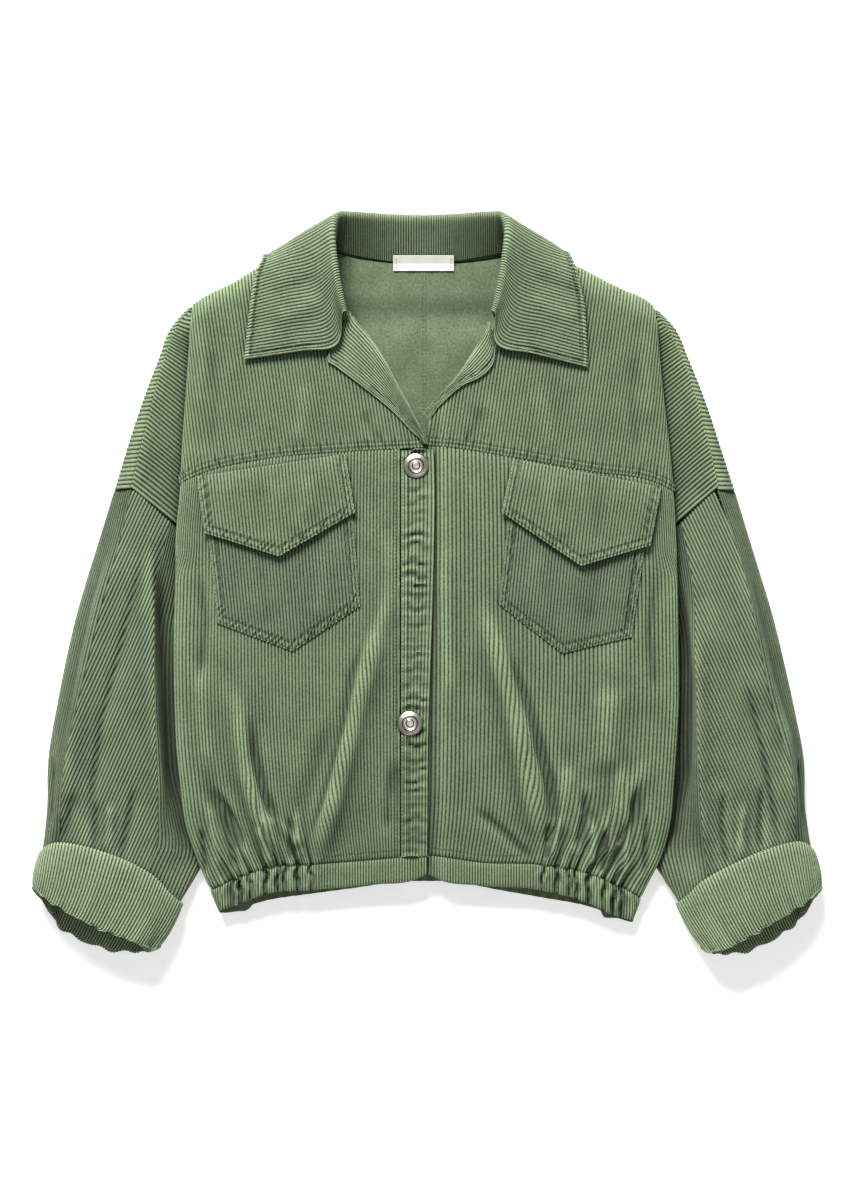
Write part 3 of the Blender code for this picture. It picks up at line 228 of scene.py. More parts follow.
# Inner edge of the yoke: behind the lapel's roll, then up the neckline.
YOKE_OPEN = {"r": table("y out", (124.3, 2), (145, 12.5), (174.6, 28), (209.7, 46.5), (227.7, 59),
                        (239.4, 69), (250, 78), (275, 87), (303, 91)),
             "l": table("y out", (125.3, -3), (150, 3), (158, 8), (171, 20), (191.7, 36.5),
                        (214.2, 49.5), (230.4, 59.5), (246.6, 65), (275, 77), (303, 89))}
PLACKET_EDGE = table("y x", (-245, 1.0), (-210, 1.2), (-120, 2.2), (-53, 4.5), (5, 6.3), (105, 7.2),
                     (124, 6.5))
PLACKET_SEAM = 23.7    # its seam to the right front lies this far out
FRONT_OPEN = {"r": 24.0, "l": -18.0}      # the fronts start this far out; the left one lies under the placket


def turned_run(y):
    """Cloth that turns under below the edge: to the fold above the underarm, to the side seam below."""
    return FOLD_RUN + (SIDE_RUN - FOLD_RUN) * ease((UNDERARM_Y - y) / 26)


def fold_run(y):
    """Cloth turned under along the fold at the shoulder, which runs out at its tip."""
    return CURL_START + (FOLD_RUN - CURL_START) * ease((250 - y) / 60)


def under_hem(side, cloth, edge, y):
    """The hem seam's y, which meets the back's seam on the underside."""
    run = cloth - edge + CURL_START
    share = ease((run - 25) / 16)
    return y * (1 - share) + back_hem(side, edge - look_up(CURL, "inward", run)) * share


SIDE_LAP = 27.0        # the back's side edge lies this far in from the folded edge
BACK_START = 0.2       # and its wales start this far from the centre line
BACK_LOW_ROWS = 40     # rows of its part below the turned outline
TIP_Y = {"r": 252.0, "l": 246.0}      # end of the fold over the shoulder
NECK_LIFT = 4.6        # the collar's fall lies under the back of the neck
OUTLINE_Y = 86.4       # the outline of the drop shoulder starts here
# The armhole seam where it lies on the floor.
ARMHOLE_FLOOR = table("y r l", (16, 196.5, 195.2), (36, 212, 211), (42, 219, 218.2), (60, 245, 243.4),
                      (79.8, 272.3, 268), (86.4, 273.3, 268.6))


def back_edge(side, y):
    """Where the back's flat part ends: side seam, armhole seam, then the turned outline."""
    seam = look_up(EDGE, side, y) - SIDE_LAP
    armhole = np.interp(y, ARMHOLE_FLOOR["y"], ARMHOLE_FLOOR[side])
    return np.where(y < 16, seam, np.where(y < OUTLINE_Y, armhole, look_up(OUTLINE, side, y) - 10))


def back_top(side, out):
    """The back's neckline and shoulder line."""
    return np.where(out < 85, look_up(BACK_NECK, "y", out), look_up(SHOULDER, side, out))


def back_rise(side, out, y):
    """Height of the back's outer face: flat, lifted over the collar, turned up at the shoulder."""
    lift = NECK_LIFT * ease((y - 238) / 16) * ease((152 - out) / 16)
    top = back_top(side, out)
    seam = front_height(side, np.maximum(out, 86), top) - 2.3 - 0.9 * ease((110 - out) / 20)
    up = seam * (1 - quarter((top - y) / 12)) * ease((out - 66) / 20) * ease((212 - out) / 9)
    return np.maximum(lift, up)


def back_hem(side, out):
    """The back's hem seam."""
    return look_up(HEM_BACK, side, out) + HEM_BAND


def across_back(side, y, u):
    """Distances out across a back panel, from the centre seam to its edge at this y."""
    return BACK_START + (back_edge(side, y) - BACK_START) * u


def back_grid(side):
    """Outer (lower) face of a back panel, hem to neck."""
    u = np.linspace(0, 1, BACK_COLUMNS + 1)[None]
    v = np.linspace(0, 1, BACK_LOW_ROWS + 1)[:, None]
    out = across_back(side, back_hem(side, 170.0) * (1 - v) + OUTLINE_Y * v, u)
    low = np.stack([out, (back_hem(side, out) + GAP) * (1 - v) + OUTLINE_Y * v, 0 * out], -1)
    r = shares((0.8, 18), (0.94, 6), (0.985, 4), (1.0, 3))[1:, None]
    high_y = OUTLINE_Y + (TIP_Y[side] - OUTLINE_Y) * r
    out = across_back(side, high_y, u)
    y = OUTLINE_Y + (back_top(side, across_back(side, TIP_Y[side], u)) - OUTLINE_Y) * r
    y = y + (high_y - y) * u ** 20
    return signed(np.vstack([low, np.stack([out, y, back_rise(side, out, y)], -1)]), side)


def signed(grid, side):
    """A grid in distances out, set on its side of the body."""
    return grid * [SIGN[side], 1, 1]


def back_roll(side, start):
    """The back of the drop shoulder, turned up round the outline to the shoulder seam."""
    seam = SHOULDER_SEAM[side]
    out0, y0, z0 = np.abs(start[:, 0]), start[:, 1], start[:, 2]
    t = (y0 - y0[0]) / (y0[-1] - y0[0])
    seam_y = seam["seam_y"][0] + (seam["seam_y"][-1] - seam["seam_y"][0]) * t
    seam_out = curve(seam["seam_y"], seam["seam_out"], seam_y) + 1.5
    seam_z = curve(seam["seam_y"], seam["seam_z"], seam_y) - 0.5
    outline = look_up(OUTLINE, side, (y0 + seam_y) / 2)
    rows = []
    for q in np.linspace(0, 1, 17):
        out, z = (out0, z0) if q <= 0.5 else (seam_out, seam_z)
        out = out + (outline - out) * math.sin(math.pi * q)
        z = z + (seam_z * 0.42 - z) * (1 - abs(math.cos(math.pi * q)))
        rows.append(np.stack([SIGN[side] * out, y0 + (seam_y - y0) * q, z], -1))
    return np.stack(rows, 1)


def stations(*rows):
    """Points (out, y, z) at every station."""
    return np.array(rows, float).reshape(len(rows), -1, 3)


ROLL_RADIUS = 3.6      # of the collar's fold
# Sections from the collar's end round to the back: its seam, roll, middle, fall and edge.
COLLAR = {
    "r": stations(
        (73.8, 241.2, 31.5, 72, 246.2, 40, 81, 215.6, 38, 114.3, 209.7, 35, 164.7, 202.5, 32.5),
        (77.3, 257.4, 28.5, 75.6, 261.9, 43, 91.8, 241.2, 39, 123.3, 234.9, 35, 162, 227.7, 32),
        (81.9, 272.7, 26, 79.2, 282.6, 46, 100.8, 268.2, 40.5, 127.8, 262.8, 35, 159.3, 254.7, 31),
        (84.6, 288, 22, 81.9, 302.4, 46, 105.3, 291.6, 40, 129.6, 286.2, 34, 155.7, 279, 28.5),
        (84.5, 297, 18, 82.8, 320.4, 44, 107.1, 308.7, 36, 127.8, 300.6, 30, 150.3, 292.6, 23),
        (83, 304.5, 13, 80.5, 331.5, 40, 107.1, 321.3, 28, 127.8, 309.6, 20, 148.5, 297.5, 11),
        (77.5, 303.5, 10.5, 75.5, 336, 35.5, 100, 320.5, 20, 119, 306, 8, 134, 297.5, 2),
        (70, 300.5, 8.5, 69.3, 336.6, 31, 91.8, 318.6, 12, 109.8, 302.4, 0.8, 114.3, 288.9, 0.2),
        (38, 294.6, 7.4, 37.8, 335.7, 24, 44.1, 311.4, 5.5, 51.3, 291.6, 0.3, 60.3, 270.9, 0.2),
        (3, 292, 7.0, 3, 334.8, 22, 3, 311.4, 4.5, 3, 291.6, 0.3, 3, 266.4, 0.2)),
    "l": stations(
        (59.4, 241.2, 31.5, 57.6, 246.2, 40, 63, 216, 38, 97.2, 207, 35.5, 144.9, 195.3, 32.5),
        (63.5, 257.4, 28.5, 62.1, 261.9, 43, 76.5, 239.4, 39, 106.2, 232.2, 35.5, 144, 221.4, 32.5),
        (67.5, 272.7, 26, 65.7, 282.6, 46, 83.7, 268.2, 40.5, 112.5, 259.2, 36, 142.2, 252, 32),
        (71.1, 288, 22, 68.4, 302.4, 46, 90, 291.6, 40, 113.4, 284.4, 35, 137.7, 276.3, 30),
        (72, 297, 18, 70.2, 320.4, 44, 92.7, 308.7, 36, 112.5, 300.5, 30, 131.4, 296, 23.5),
        (71, 301.5, 13, 68, 331.5, 40, 92.7, 321.3, 28, 112.5, 310.5, 20, 128, 300, 12),
        (64, 300.8, 10.5, 62.8, 336, 35.5, 85.5, 320.5, 20, 104, 306, 8, 119, 300, 2),
        (56.7, 299.5, 8.5, 56.7, 336.6, 31, 77.4, 318.6, 12, 95.4, 302.4, 0.8, 101.7, 288.9, 0.2),
        (25.2, 294.2, 7.2, 25.2, 335.7, 24, 31.5, 311.4, 5.5, 38.7, 291.6, 0.3, 47.7, 270.9, 0.2))}


def collar_grid():
    """Outer face of the collar: up the stand, round the roll and down the fall."""
    sections = np.vstack([signed(COLLAR["r"], "r"), COLLAR["l"][::-1]])
    last = len(sections) - 1
    seam, roll, mid, fall, edge = curve(
        np.arange(last + 1.0), sections, np.linspace(0, last, 8 * last + 1)).transpose(1, 0, 2)
    down_stand, down_fall = unit(seam - roll), unit(mid - roll)
    along = unit(np.gradient(roll, axis=0))
    tip = -(down_stand + down_fall)
    tip = unit(tip - (tip * along).sum(-1, keepdims=True) * along)
    across = np.cross(tip, along)
    across *= np.sign((across * (down_fall - down_stand)).sum(-1, keepdims=True))
    centre = roll - tip * ROLL_RADIUS
    spread = np.arccos(np.clip((down_stand * down_fall).sum(-1, keepdims=True), -1, 1)) / 2
    turns = [spread + (math.pi - 2 * spread) * t for t in np.linspace(0, 1, 5)]
    loop = [centre + ROLL_RADIUS * (np.sin(a) * tip - np.cos(a) * across) for a in turns]
    stand = [seam + (loop[0] - seam) * t for t in np.linspace(0, 1, 9)[:-1]]
    falls = curve(np.arange(4.0), np.stack([loop[-1], mid, fall, edge]), np.linspace(0, 3, 43)[1:])
    return np.stack([*stand, *loop, *falls])


CUFF_WALL = 5.0        # a turned-up cuff is two layers of cloth with a rounded fold
CUFF_ROWS = 5          # down its outer layer
RING_SAMPLES = 30      # points between the control points of a sleeve or a cuff
LEVEL = np.array([1, 1, 0.0])      # times a vector: its level part
SLEEVE_IN_CUFF = 2.4   # the sleeve's end lies this far behind the cuff's face
# Stations down the sleeve: its outline, outer ridge, middle, inner ridge and inner edge.
SLEEVE = {
    "r": stations(
        (283.5, 84.8, 10.5, 267, 84.8, 23.2, 248, 73.2, 20.5, 232, 56, 15.5, 216, 40, 9),
        (297.9, 36.9, 9.5, 278.1, 29.7, 29, 255.6, 12.6, 30, 245, -1.8, 23, 213.3, -26, 4.8),
        (315.9, -23.4, 10, 293.4, -34.2, 33, 267.3, -52.2, 35, 248, -66.6, 29, 212.4, -91.8, 4.8),
        (330.3, -87.3, 10, 308.7, -99.9, 35, 278.1, -116.1, 37, 246, -132.3, 31, 210.6, -153.9, 4.8),
        (342, -153.9, 11, 323.1, -162.9, 36, 288.9, -177.3, 38, 243, -198, 32, 205.2, -216, 4.8),
        (343.5, -203.4, 14, 329, -207, 36, 294.3, -216, 39, 242.1, -234, 34, 203.6, -250.2, 9)),
    "l": stations(
        (279, 84, 10.5, 262.8, 83.8, 23.2, 245, 72.8, 20.5, 230, 56, 15.5, 215.5, 40, 9),
        (293.4, 36.9, 9.5, 279, 29.7, 29, 256.5, 12.6, 30, 240, -3.6, 23, 211.5, -26, 4.8),
        (311.4, -23.4, 10, 290.7, -32.4, 33, 265.5, -50.4, 35, 243, -66.6, 29, 210.6, -91.8, 4.8),
        (326.7, -87.3, 10, 304.2, -97.2, 35, 277.2, -113.4, 37, 244.8, -134.1, 31, 208.8, -153.9, 4.8),
        (340.2, -153.9, 11, 322.2, -161.1, 36, 288.9, -176.4, 38, 247.5, -198, 32, 206, -216, 4.8),
        (342, -203.4, 14, 329.4, -207, 36, 292.5, -216, 39, 249.3, -234, 34, 205, -248.4, 9))}
TUCK_LEVEL = (11, 11, 11.5, 11.5, 11, 20)      # height of the sleeve's inner side at each station
# From the outside of the arm to the inside: the cuff's upper edge (out, y, z), and its mouth (out, y)
# above and then below, where it is turned back less.
CUFF = {
    "r": np.array((
        (350.5, -241, 19, 356.4, -280, 350.5, -288), (332.1, -230.5, 37, 337.5, -282.6, 344.7, -301.5),
        (294.3, -236.5, 45, 303.3, -299.7, 308.7, -317.7),
        (251.1, -255.6, 41, 262.8, -316.8, 278.1, -328.5),
        (219.8, -287.1, 19, 245.7, -333.9, 247.5, -336))),
    "l": np.array((
        (350.5, -240, 19, 356.6, -280, 350, -289), (333, -229.5, 37, 335.7, -285.3, 342.9, -298.8),
        (295.2, -239.4, 45, 304.2, -302.4, 308.7, -318.6), (252, -261, 41, 270, -322.2, 279.9, -330.3),
        (224.1, -287.1, 19, 252.9, -334.8, 254.7, -338.4)))}


def closed_curve(points, soften=0.0):
    """Smooth closed rings through control points: (ring, control, xyz) to (ring, sample, xyz)."""
    count = points.shape[1]
    t = np.arange(count * RING_SAMPLES) / RING_SAMPLES
    i = t.astype(int)
    f = (t - i)[None, :, None]
    p0, p1, p2, p3 = (points[:, (i + k) % count] for k in (-1, 0, 1, 2))
    m1, m2 = (p2 - p0) / 2, (p3 - p1) / 2
    ring = ((1 + 2 * f) * (1 - f) ** 2 * p1 + f * (1 - f) ** 2 * m1
            + f * f * (3 - 2 * f) * p2 - f * f * (1 - f) * m2)
    ring = ring * (1 - soften) + (np.roll(ring, 1, axis=1) + np.roll(ring, -1, axis=1)) * soften / 2
    ring[..., 2] = np.maximum(ring[..., 2], 0.0)
    return ring


def sleeve_controls(side):
    """Control rings of the sleeve above its cuff: over the top and back along the floor."""
    o, a, b, c, i = SLEEVE[side].transpose(1, 0, 2)
    tuck = i + (c - i) * 0.45
    tuck[:, 2] = TUCK_LEVEL
    across = unit((o - i) * LEVEL)
    low_i, low_o = i * LEVEL + across * 5, o * LEVEL - across * 9
    third = [low_o + (low_i - low_o) * k for k in (0.33, 0.67)]
    return np.stack([i, tuck, c, b, a, o, low_o, *third, low_i], 1)


def cuff_controls(side):
    """Control rings of the cuff's outer layer at its upper edge and at its mouth."""
    s = CUFF[side]
    top = s[:, :3]
    mouth = np.column_stack([s[:, 3:5], top[:, 2] * [1, 1.05, 1.02, 1.05, 1]])
    low = np.column_stack([s[:, 5:], 0 * s[:, 0]])
    rings = []
    for upper, under in ((top, top * LEVEL), (mouth, low)):
        o, a, b, c, i = upper
        across = unit((o - i) * LEVEL)
        rings.append(np.stack([i, i * 0.72 + c * 0.28 + [0, 0, 6.0], c, b, a, o, under[0] - across * 13,
                               under[1] * 0.6 + under[2] * 0.4, under[3] * 0.6 + under[2] * 0.4,
                               under[4] + across * 12]))
    return np.stack(rings)


def cuff_outer(side):
    """Outer layer of a cuff, from its free upper edge to the fold, with its normals."""
    rings = closed_curve(cuff_controls(side), 0.6)
    t = np.linspace(0, 1, CUFF_ROWS)[:, None, None]
    grid = rings[:1] * (1 - t) + rings[1:] * t
    middle = grid.mean(axis=1, keepdims=True)
    grid = middle + (grid - middle) * (1 + 0.035 * np.sin(math.pi * t))
    grid[..., 2] -= grid[..., 2].min()
    around = np.roll(grid, -1, axis=1) - np.roll(grid, 1, axis=1)
    return grid, unit(np.cross(np.gradient(grid, axis=0), around))


def cuff_grid(side):
    """Outer layer, fold and inner layer of a cuff."""
    outer, normal = cuff_outer(side)
    away = unit(unit(outer[-1] - outer[0]) * LEVEL)
    radius = CUFF_WALL / 2
    fold = [outer[-1] - normal[-1] * radius * (1 - math.cos(a)) + away * radius * math.sin(a)
            for a in (math.pi * k / 4 for k in (1, 2, 3))]
    inner = [outer[r] - normal[r] * CUFF_WALL for r in range(CUFF_ROWS - 1, 1, -1)]
    return np.stack([*outer, *fold, *inner])


def sleeve_grid(side):
    """Outer face of a sleeve, from the armhole into the cuff."""
    rings = closed_curve(sleeve_controls(side))
    outer, normal = cuff_outer(side)
    inside = [outer[r] - normal[r] * (SLEEVE_IN_CUFF + extra) for r, extra in ((0, 0.8), (1, 0.2))]
    end = (outer[1] * 0.3 + outer[2] * 0.7) - (normal[1] * 0.3 + normal[2] * 0.7) * SLEEVE_IN_CUFF
    knots = np.array([0, 1, 2, 3, 4, 5, 5.7, 6.1, 6.4])
    at = np.concatenate([np.linspace(0, 5, 66), [5.35], knots[6:]])
    grid = curve(knots, np.stack([*rings, *inside, end]), at)
    grid[..., 2] = np.maximum(grid[..., 2], 0.0)
    return grid


GATHER_PITCH = 10.5    # from one of the hem's gathers to the next
GATHER_FROM = 98.0     # the hem is flat beside the placket and gathered from here round the side
HEM_RUN = 66.0         # cloth from the start of the curl to the hem's end at the side seam


POCKET_RISE = 2.6      # above the front
FLAP_RISE = 5.1        # the same for a flap's lower part, over its pocket
# Corners of the pockets and flaps: inner and outer top, inner and outer low corner, and the point.
POCKETS = {
    "pocket_r": ((68, 88), (200.5, 78), (59.4, -17.6), (188.1, -33.3), (120.6, -58.5)),
    "pocket_l": ((74.9, 88), (201, 71), (63.9, -16.2), (184.1, -45.5), (121.2, -60.3)),
    "flap_r": ((72.5, 118.4), (207, 98.2), (63.9, 66), (199.8, 47.7), (132.3, 26.5)),
    "flap_l": ((76.3, 114), (211, 88.6), (66.2, 66), (200.3, 36.5), (137.5, 18))}
# Profile of a snap button from its middle to its edge (radius, height), and the radii of its steep slopes,
# painted dark: painted shade.
BUTTON = ((0.01, 4.2), (3.0, 4.0), (3.8, 3.1), (5.2, 3.0), (6.3, 3.9), (7.3, 3.3), (10.3, 2.3),
          (11.3, 1.0))
SHADED_SLOPES = ((3.0, 3.9), (6.3, 7.4), (11.0, 11.6))
BUTTONS = {"button_top": (-9.9, 108.0), "button_low": (-15.3, -122.9)}
LABEL_ENDS = (-30.6, 24.3)
LABEL_LINE = ((285.3, 291.5, 298.8), (8.2, 8.6, 11.6))      # y and height up the label
# Studio: lamps (name, place, size and share of the power), the floor's glow, the sky and the camera.
LAMPS = (("lamp_above", (-0.9, 3.3, 2.7), 1.5, 1.0), ("lamp_fill", (0.5, -1.0, 3.0), 2.6, 0.06))
WHITE = (1, 1, 1, 1)
FLOOR_GLOW = 0.42
SKY_STRENGTH = 0.22
CAMERA_AT = (-0.0018, -0.0081)


# ---------------------------------------------------------------- cloth as closed shells

WALE_PITCH = 3.05      # from one wale to the next
POINTS_PER_WALE = 4    # columns
INSIDE = -1.0          # rib value of the cloth's inner face
RELIEF_REACH = (3, 11)      # rows and columns that a crest or a trough is compared with
FULL_RELIEF = 1.6      # height of a crest that counts as 1
EDGE_WEAR = 3.2        # worn edges are palest over this distance
SEAM_SHADE = 0.7       # how much darker the cloth is along a row of stitches
FLOOR_GAP = 0.4        # points lower than this are pressed flat above the floor


def normals(grid, closed=False):
    """Which way each point of a grid looks."""
    down = np.gradient(grid, axis=0)
    across = np.roll(grid, -1, 1) - np.roll(grid, 1, 1) if closed else np.gradient(grid, axis=1)
    return unit(np.cross(across, down))


def distances(grid, axis):
    """Distance travelled along the grid's rows or columns."""
    steps = np.linalg.norm(np.diff(grid, axis=axis), axis=-1)
    start = np.zeros_like(np.take(steps, [0], axis=axis))
    return np.cumsum(np.concatenate([start, steps], axis=axis), axis=axis)


def lengths(path):
    """Distance travelled along a path."""
    return distances(path[None], 1)[0]


def resampled(path, at, places):
    """A path's points, given where each one lies, at other places."""
    return np.stack([np.interp(places, at, path[:, k]) for k in range(3)], -1)


def bell(away, reach):
    """1 at no distance, falling off to both sides."""
    return np.exp(-(away / reach) ** 2)


def relief(grid, normal, closed):
    """How far each point stands above the cloth around it, from -1 in a deep trough to 1 on a crest."""
    total = np.zeros(grid.shape[:2])
    for axis, reach in enumerate(RELIEF_REACH):
        size, width = grid.shape[axis], 2 * reach + 1
        if size <= width:
            continue
        wrapped = closed and axis == 1
        wide = [(0, 0)] * 3
        wide[axis] = (reach, reach)
        padded = np.pad(grid, wide, mode="wrap" if wrapped else "edge")
        around = sum(np.take(padded, range(k, k + size), axis) for k in range(width)) / width
        height = ((grid - around) * normal).sum(-1)
        if not wrapped:
            height = np.pad(np.take(height, range(reach, size - reach), axis), wide[:2], mode="edge")
        total = total + height
    return np.clip(total / FULL_RELIEF, -1, 1)


def insets(grid, sides):
    """Distance of every point from the nearest of the grid's named sides."""
    along, across = distances(grid, 0), distances(grid, 1)
    near = {"first": along, "last": along[-1:] - along,
            "left": across, "right": across[:, -1:] - across}
    return np.minimum.reduce([near[side] for side in sides.split()])


class Cloth:
    """Points and faces of one piece of cloth, gathered from its shells and stitches."""

    def __init__(self):
        self.points, self.rib, self.wear, self.lie = [], [], [], []
        self.faces, self.thread = [], []
        self.count = 0

    def add(self, points, faces, rib, wear, lie, thread=False):
        self.faces += [tuple(int(i) + self.count for i in face) for face in faces]
        self.thread += [thread] * len(faces)
        stores = (self.points, self.rib, self.wear, self.lie)
        for store, values in zip(stores, (points, rib, wear, lie)):
            store.append(np.asarray(values, float))
        self.count += len(points)

    def shell(self, grid, thickness, turned=False, closed=False, worn="", seams="", rows=(), tone_and_shade=0.0,
              depth=None, wales=True):
        """A wall whose outer face follows the grid, with a wale for every few columns.

        A turned grid is one whose rows run the other way round than its outer face needs.
        Worn sides are palest at their edge and paler in a band out to about 9 mm, and rows of stitches run
        beside the seams at these distances, with the cloth darker along them. The crests of folds get painted
        highlight and their troughs painted shade, and a whole shell can be painted paler or darker.
        """
        wear = np.full(grid.shape[:2], float(tone_and_shade))
        if worn:
            inset = insets(grid, worn)
            wear = np.maximum(wear + 0.3 * np.clip((9.0 - inset) / 3.0, 0, 1), 1 - inset / EDGE_WEAR)
        for row in rows:
            if row > 2.5 or not worn:
                wear = wear - SEAM_SHADE * bell(insets(grid, seams) - row, 0.85)
        for side in seams.split():
            crossing = ("left", "right") if side in ("first", "last") else ("first", "last")
            for row in rows:
                self.sew(grid, turned, side, row, [row if c in seams else 1.0 for c in crossing])
        if turned:
            grid, wear = grid[::-1], wear[::-1]
        settings = bpy.context.scene.jacket_cloth
        depth = settings.wale_depth / MM if depth is None else depth
        last, cols = len(grid) - 1, grid.shape[1]
        normal = normals(grid, closed)
        # Painted highlight on the crests of folds and painted shade in their troughs.
        wear = wear + settings.fold_shading * relief(grid, normal, closed)
        rib = np.abs(np.sin(math.pi * np.arange(cols) / POINTS_PER_WALE)) if wales else np.ones(cols)
        outer = grid - normal * ((1 - rib) * depth)[None, :, None]
        ends = np.unique([*range(0, cols, POINTS_PER_WALE), cols if closed else cols - 1])
        pick = ends[:-1] if closed else ends
        inner = grid[:, pick] - normal[:, pick] * thickness
        faces = []

        def over(r, c):
            return r * cols + c % cols

        def under(r, k):
            return grid.shape[0] * cols + r * len(pick) + k % len(pick)

        for r in range(last):
            faces += [(over(r, k), over(r, k + 1), over(r + 1, k + 1), over(r + 1, k))
                      for k in range(cols if closed else cols - 1)]
            faces += [(under(r, k), under(r + 1, k), under(r + 1, k + 1), under(r, k + 1))
                      for k in range(len(ends) - 1)]
            if not closed:
                faces += [(over(r, 0), over(r + 1, 0), under(r + 1, 0), under(r, 0)),
                          (over(r + 1, -1), over(r, -1), under(r, -1), under(r + 1, -1))]
        for k in range(len(ends) - 1):
            span = range(ends[k], ends[k + 1] + 1)
            faces += [(*(over(0, c) for c in reversed(span)), under(0, k), under(0, k + 1)),
                      (*(over(last, c) for c in span), under(last, k + 1), under(last, k))]
        lie = np.stack([distances(grid, 1), distances(grid, 0), 0 * grid[..., 0]], -1) * MM
        self.add(np.vstack([outer.reshape(-1, 3), inner.reshape(-1, 3)]), faces,
                 np.concatenate([np.tile(rib, last + 1), np.full((last + 1) * len(pick), INSIDE)]),
                 np.concatenate([wear.ravel(), wear[:, pick].ravel()]),
                 np.vstack([lie.reshape(-1, 3), lie[:, pick].reshape(-1, 3)]))

    def sew(self, grid, turned, side, inset, ends):
        """A row of stitches along a side of a grid, this far in from it."""
        up = normals(grid) * (-1 if turned else 1)
        if side in ("left", "right"):
            grid, up = grid.transpose(1, 0, 2), up.transpose(1, 0, 2)
        if side in ("last", "right"):
            grid, up = grid[::-1], up[::-1]
        far = distances(grid, 0)
        path, tops = (np.stack([resampled(a[:, k], far[:, k], inset) for k in range(grid.shape[1])])
                      for a in (grid, up))
        at = lengths(path)
        kept = (at >= ends[0]) & (at <= at[-1] - ends[1])
        self.stitches(path[kept], tops[kept])

    def stitches(self, path, up, pitch=3.4, length=2.4, radius=0.3):
        """A row of stitches along a path of points, standing on the cloth."""
        at = lengths(path)
        for start in np.arange(0.5, at[-1] - length, pitch):
            middle = resampled(path, at, start + length * np.array([0.0, 0.25, 0.75, 1.0]))
            top = unit(resampled(up, at, start))
            side = unit(np.cross(middle[-1] - middle[0], top))
            ring = [side, top, -side, -top]
            points = [middle[0]]
            for p in middle[1:3]:
                points += [p + d * radius for d in ring]
            points.append(middle[3])
            faces = [(0, 1 + (k + 1) % 4, 1 + k) for k in range(4)]
            faces += [(1 + k, 1 + (k + 1) % 4, 5 + (k + 1) % 4, 5 + k) for k in range(4)]
            faces += [(5 + k, 5 + (k + 1) % 4, 9) for k in range(4)]
            self.add(np.array(points), faces, np.ones(10), np.zeros(10), np.zeros((10, 3)), thread=True)

    def build(self, name, cloth, thread):
        """The piece as an object, in the frame's metres."""
        mesh = bpy.data.meshes.new(name)
        points = np.vstack(self.points)
        z = points[:, 2]
        points[:, 2] = np.where(z > FLOOR_GAP, z, FLOOR_GAP * np.exp(z / FLOOR_GAP - 1))
        mesh.from_pydata((points * MM).tolist(), [], self.faces)
        mesh.materials.append(cloth)
        mesh.materials.append(thread)
        mesh.polygons.foreach_set("material_index", np.array(self.thread, np.int32))
        mesh.polygons.foreach_set("use_smooth", np.ones(len(self.faces), bool))
        # This attribute holds paler worn edges together with painted highlight and painted shade.
        for key, store in (("rib", self.rib), ("wear", self.wear)):
            mesh.attributes.new(key, "FLOAT", "POINT").data.foreach_set("value", np.concatenate(store))
        lie = np.vstack(self.lie).ravel()
        mesh.attributes.new("lie", "FLOAT_VECTOR", "POINT").data.foreach_set("vector", lie)
        mesh.set_sharp_from_angle(angle=math.radians(60))
        mesh.update()
        obj = bpy.data.objects.new(name, mesh)
        bpy.context.collection.objects.link(obj)
        return obj
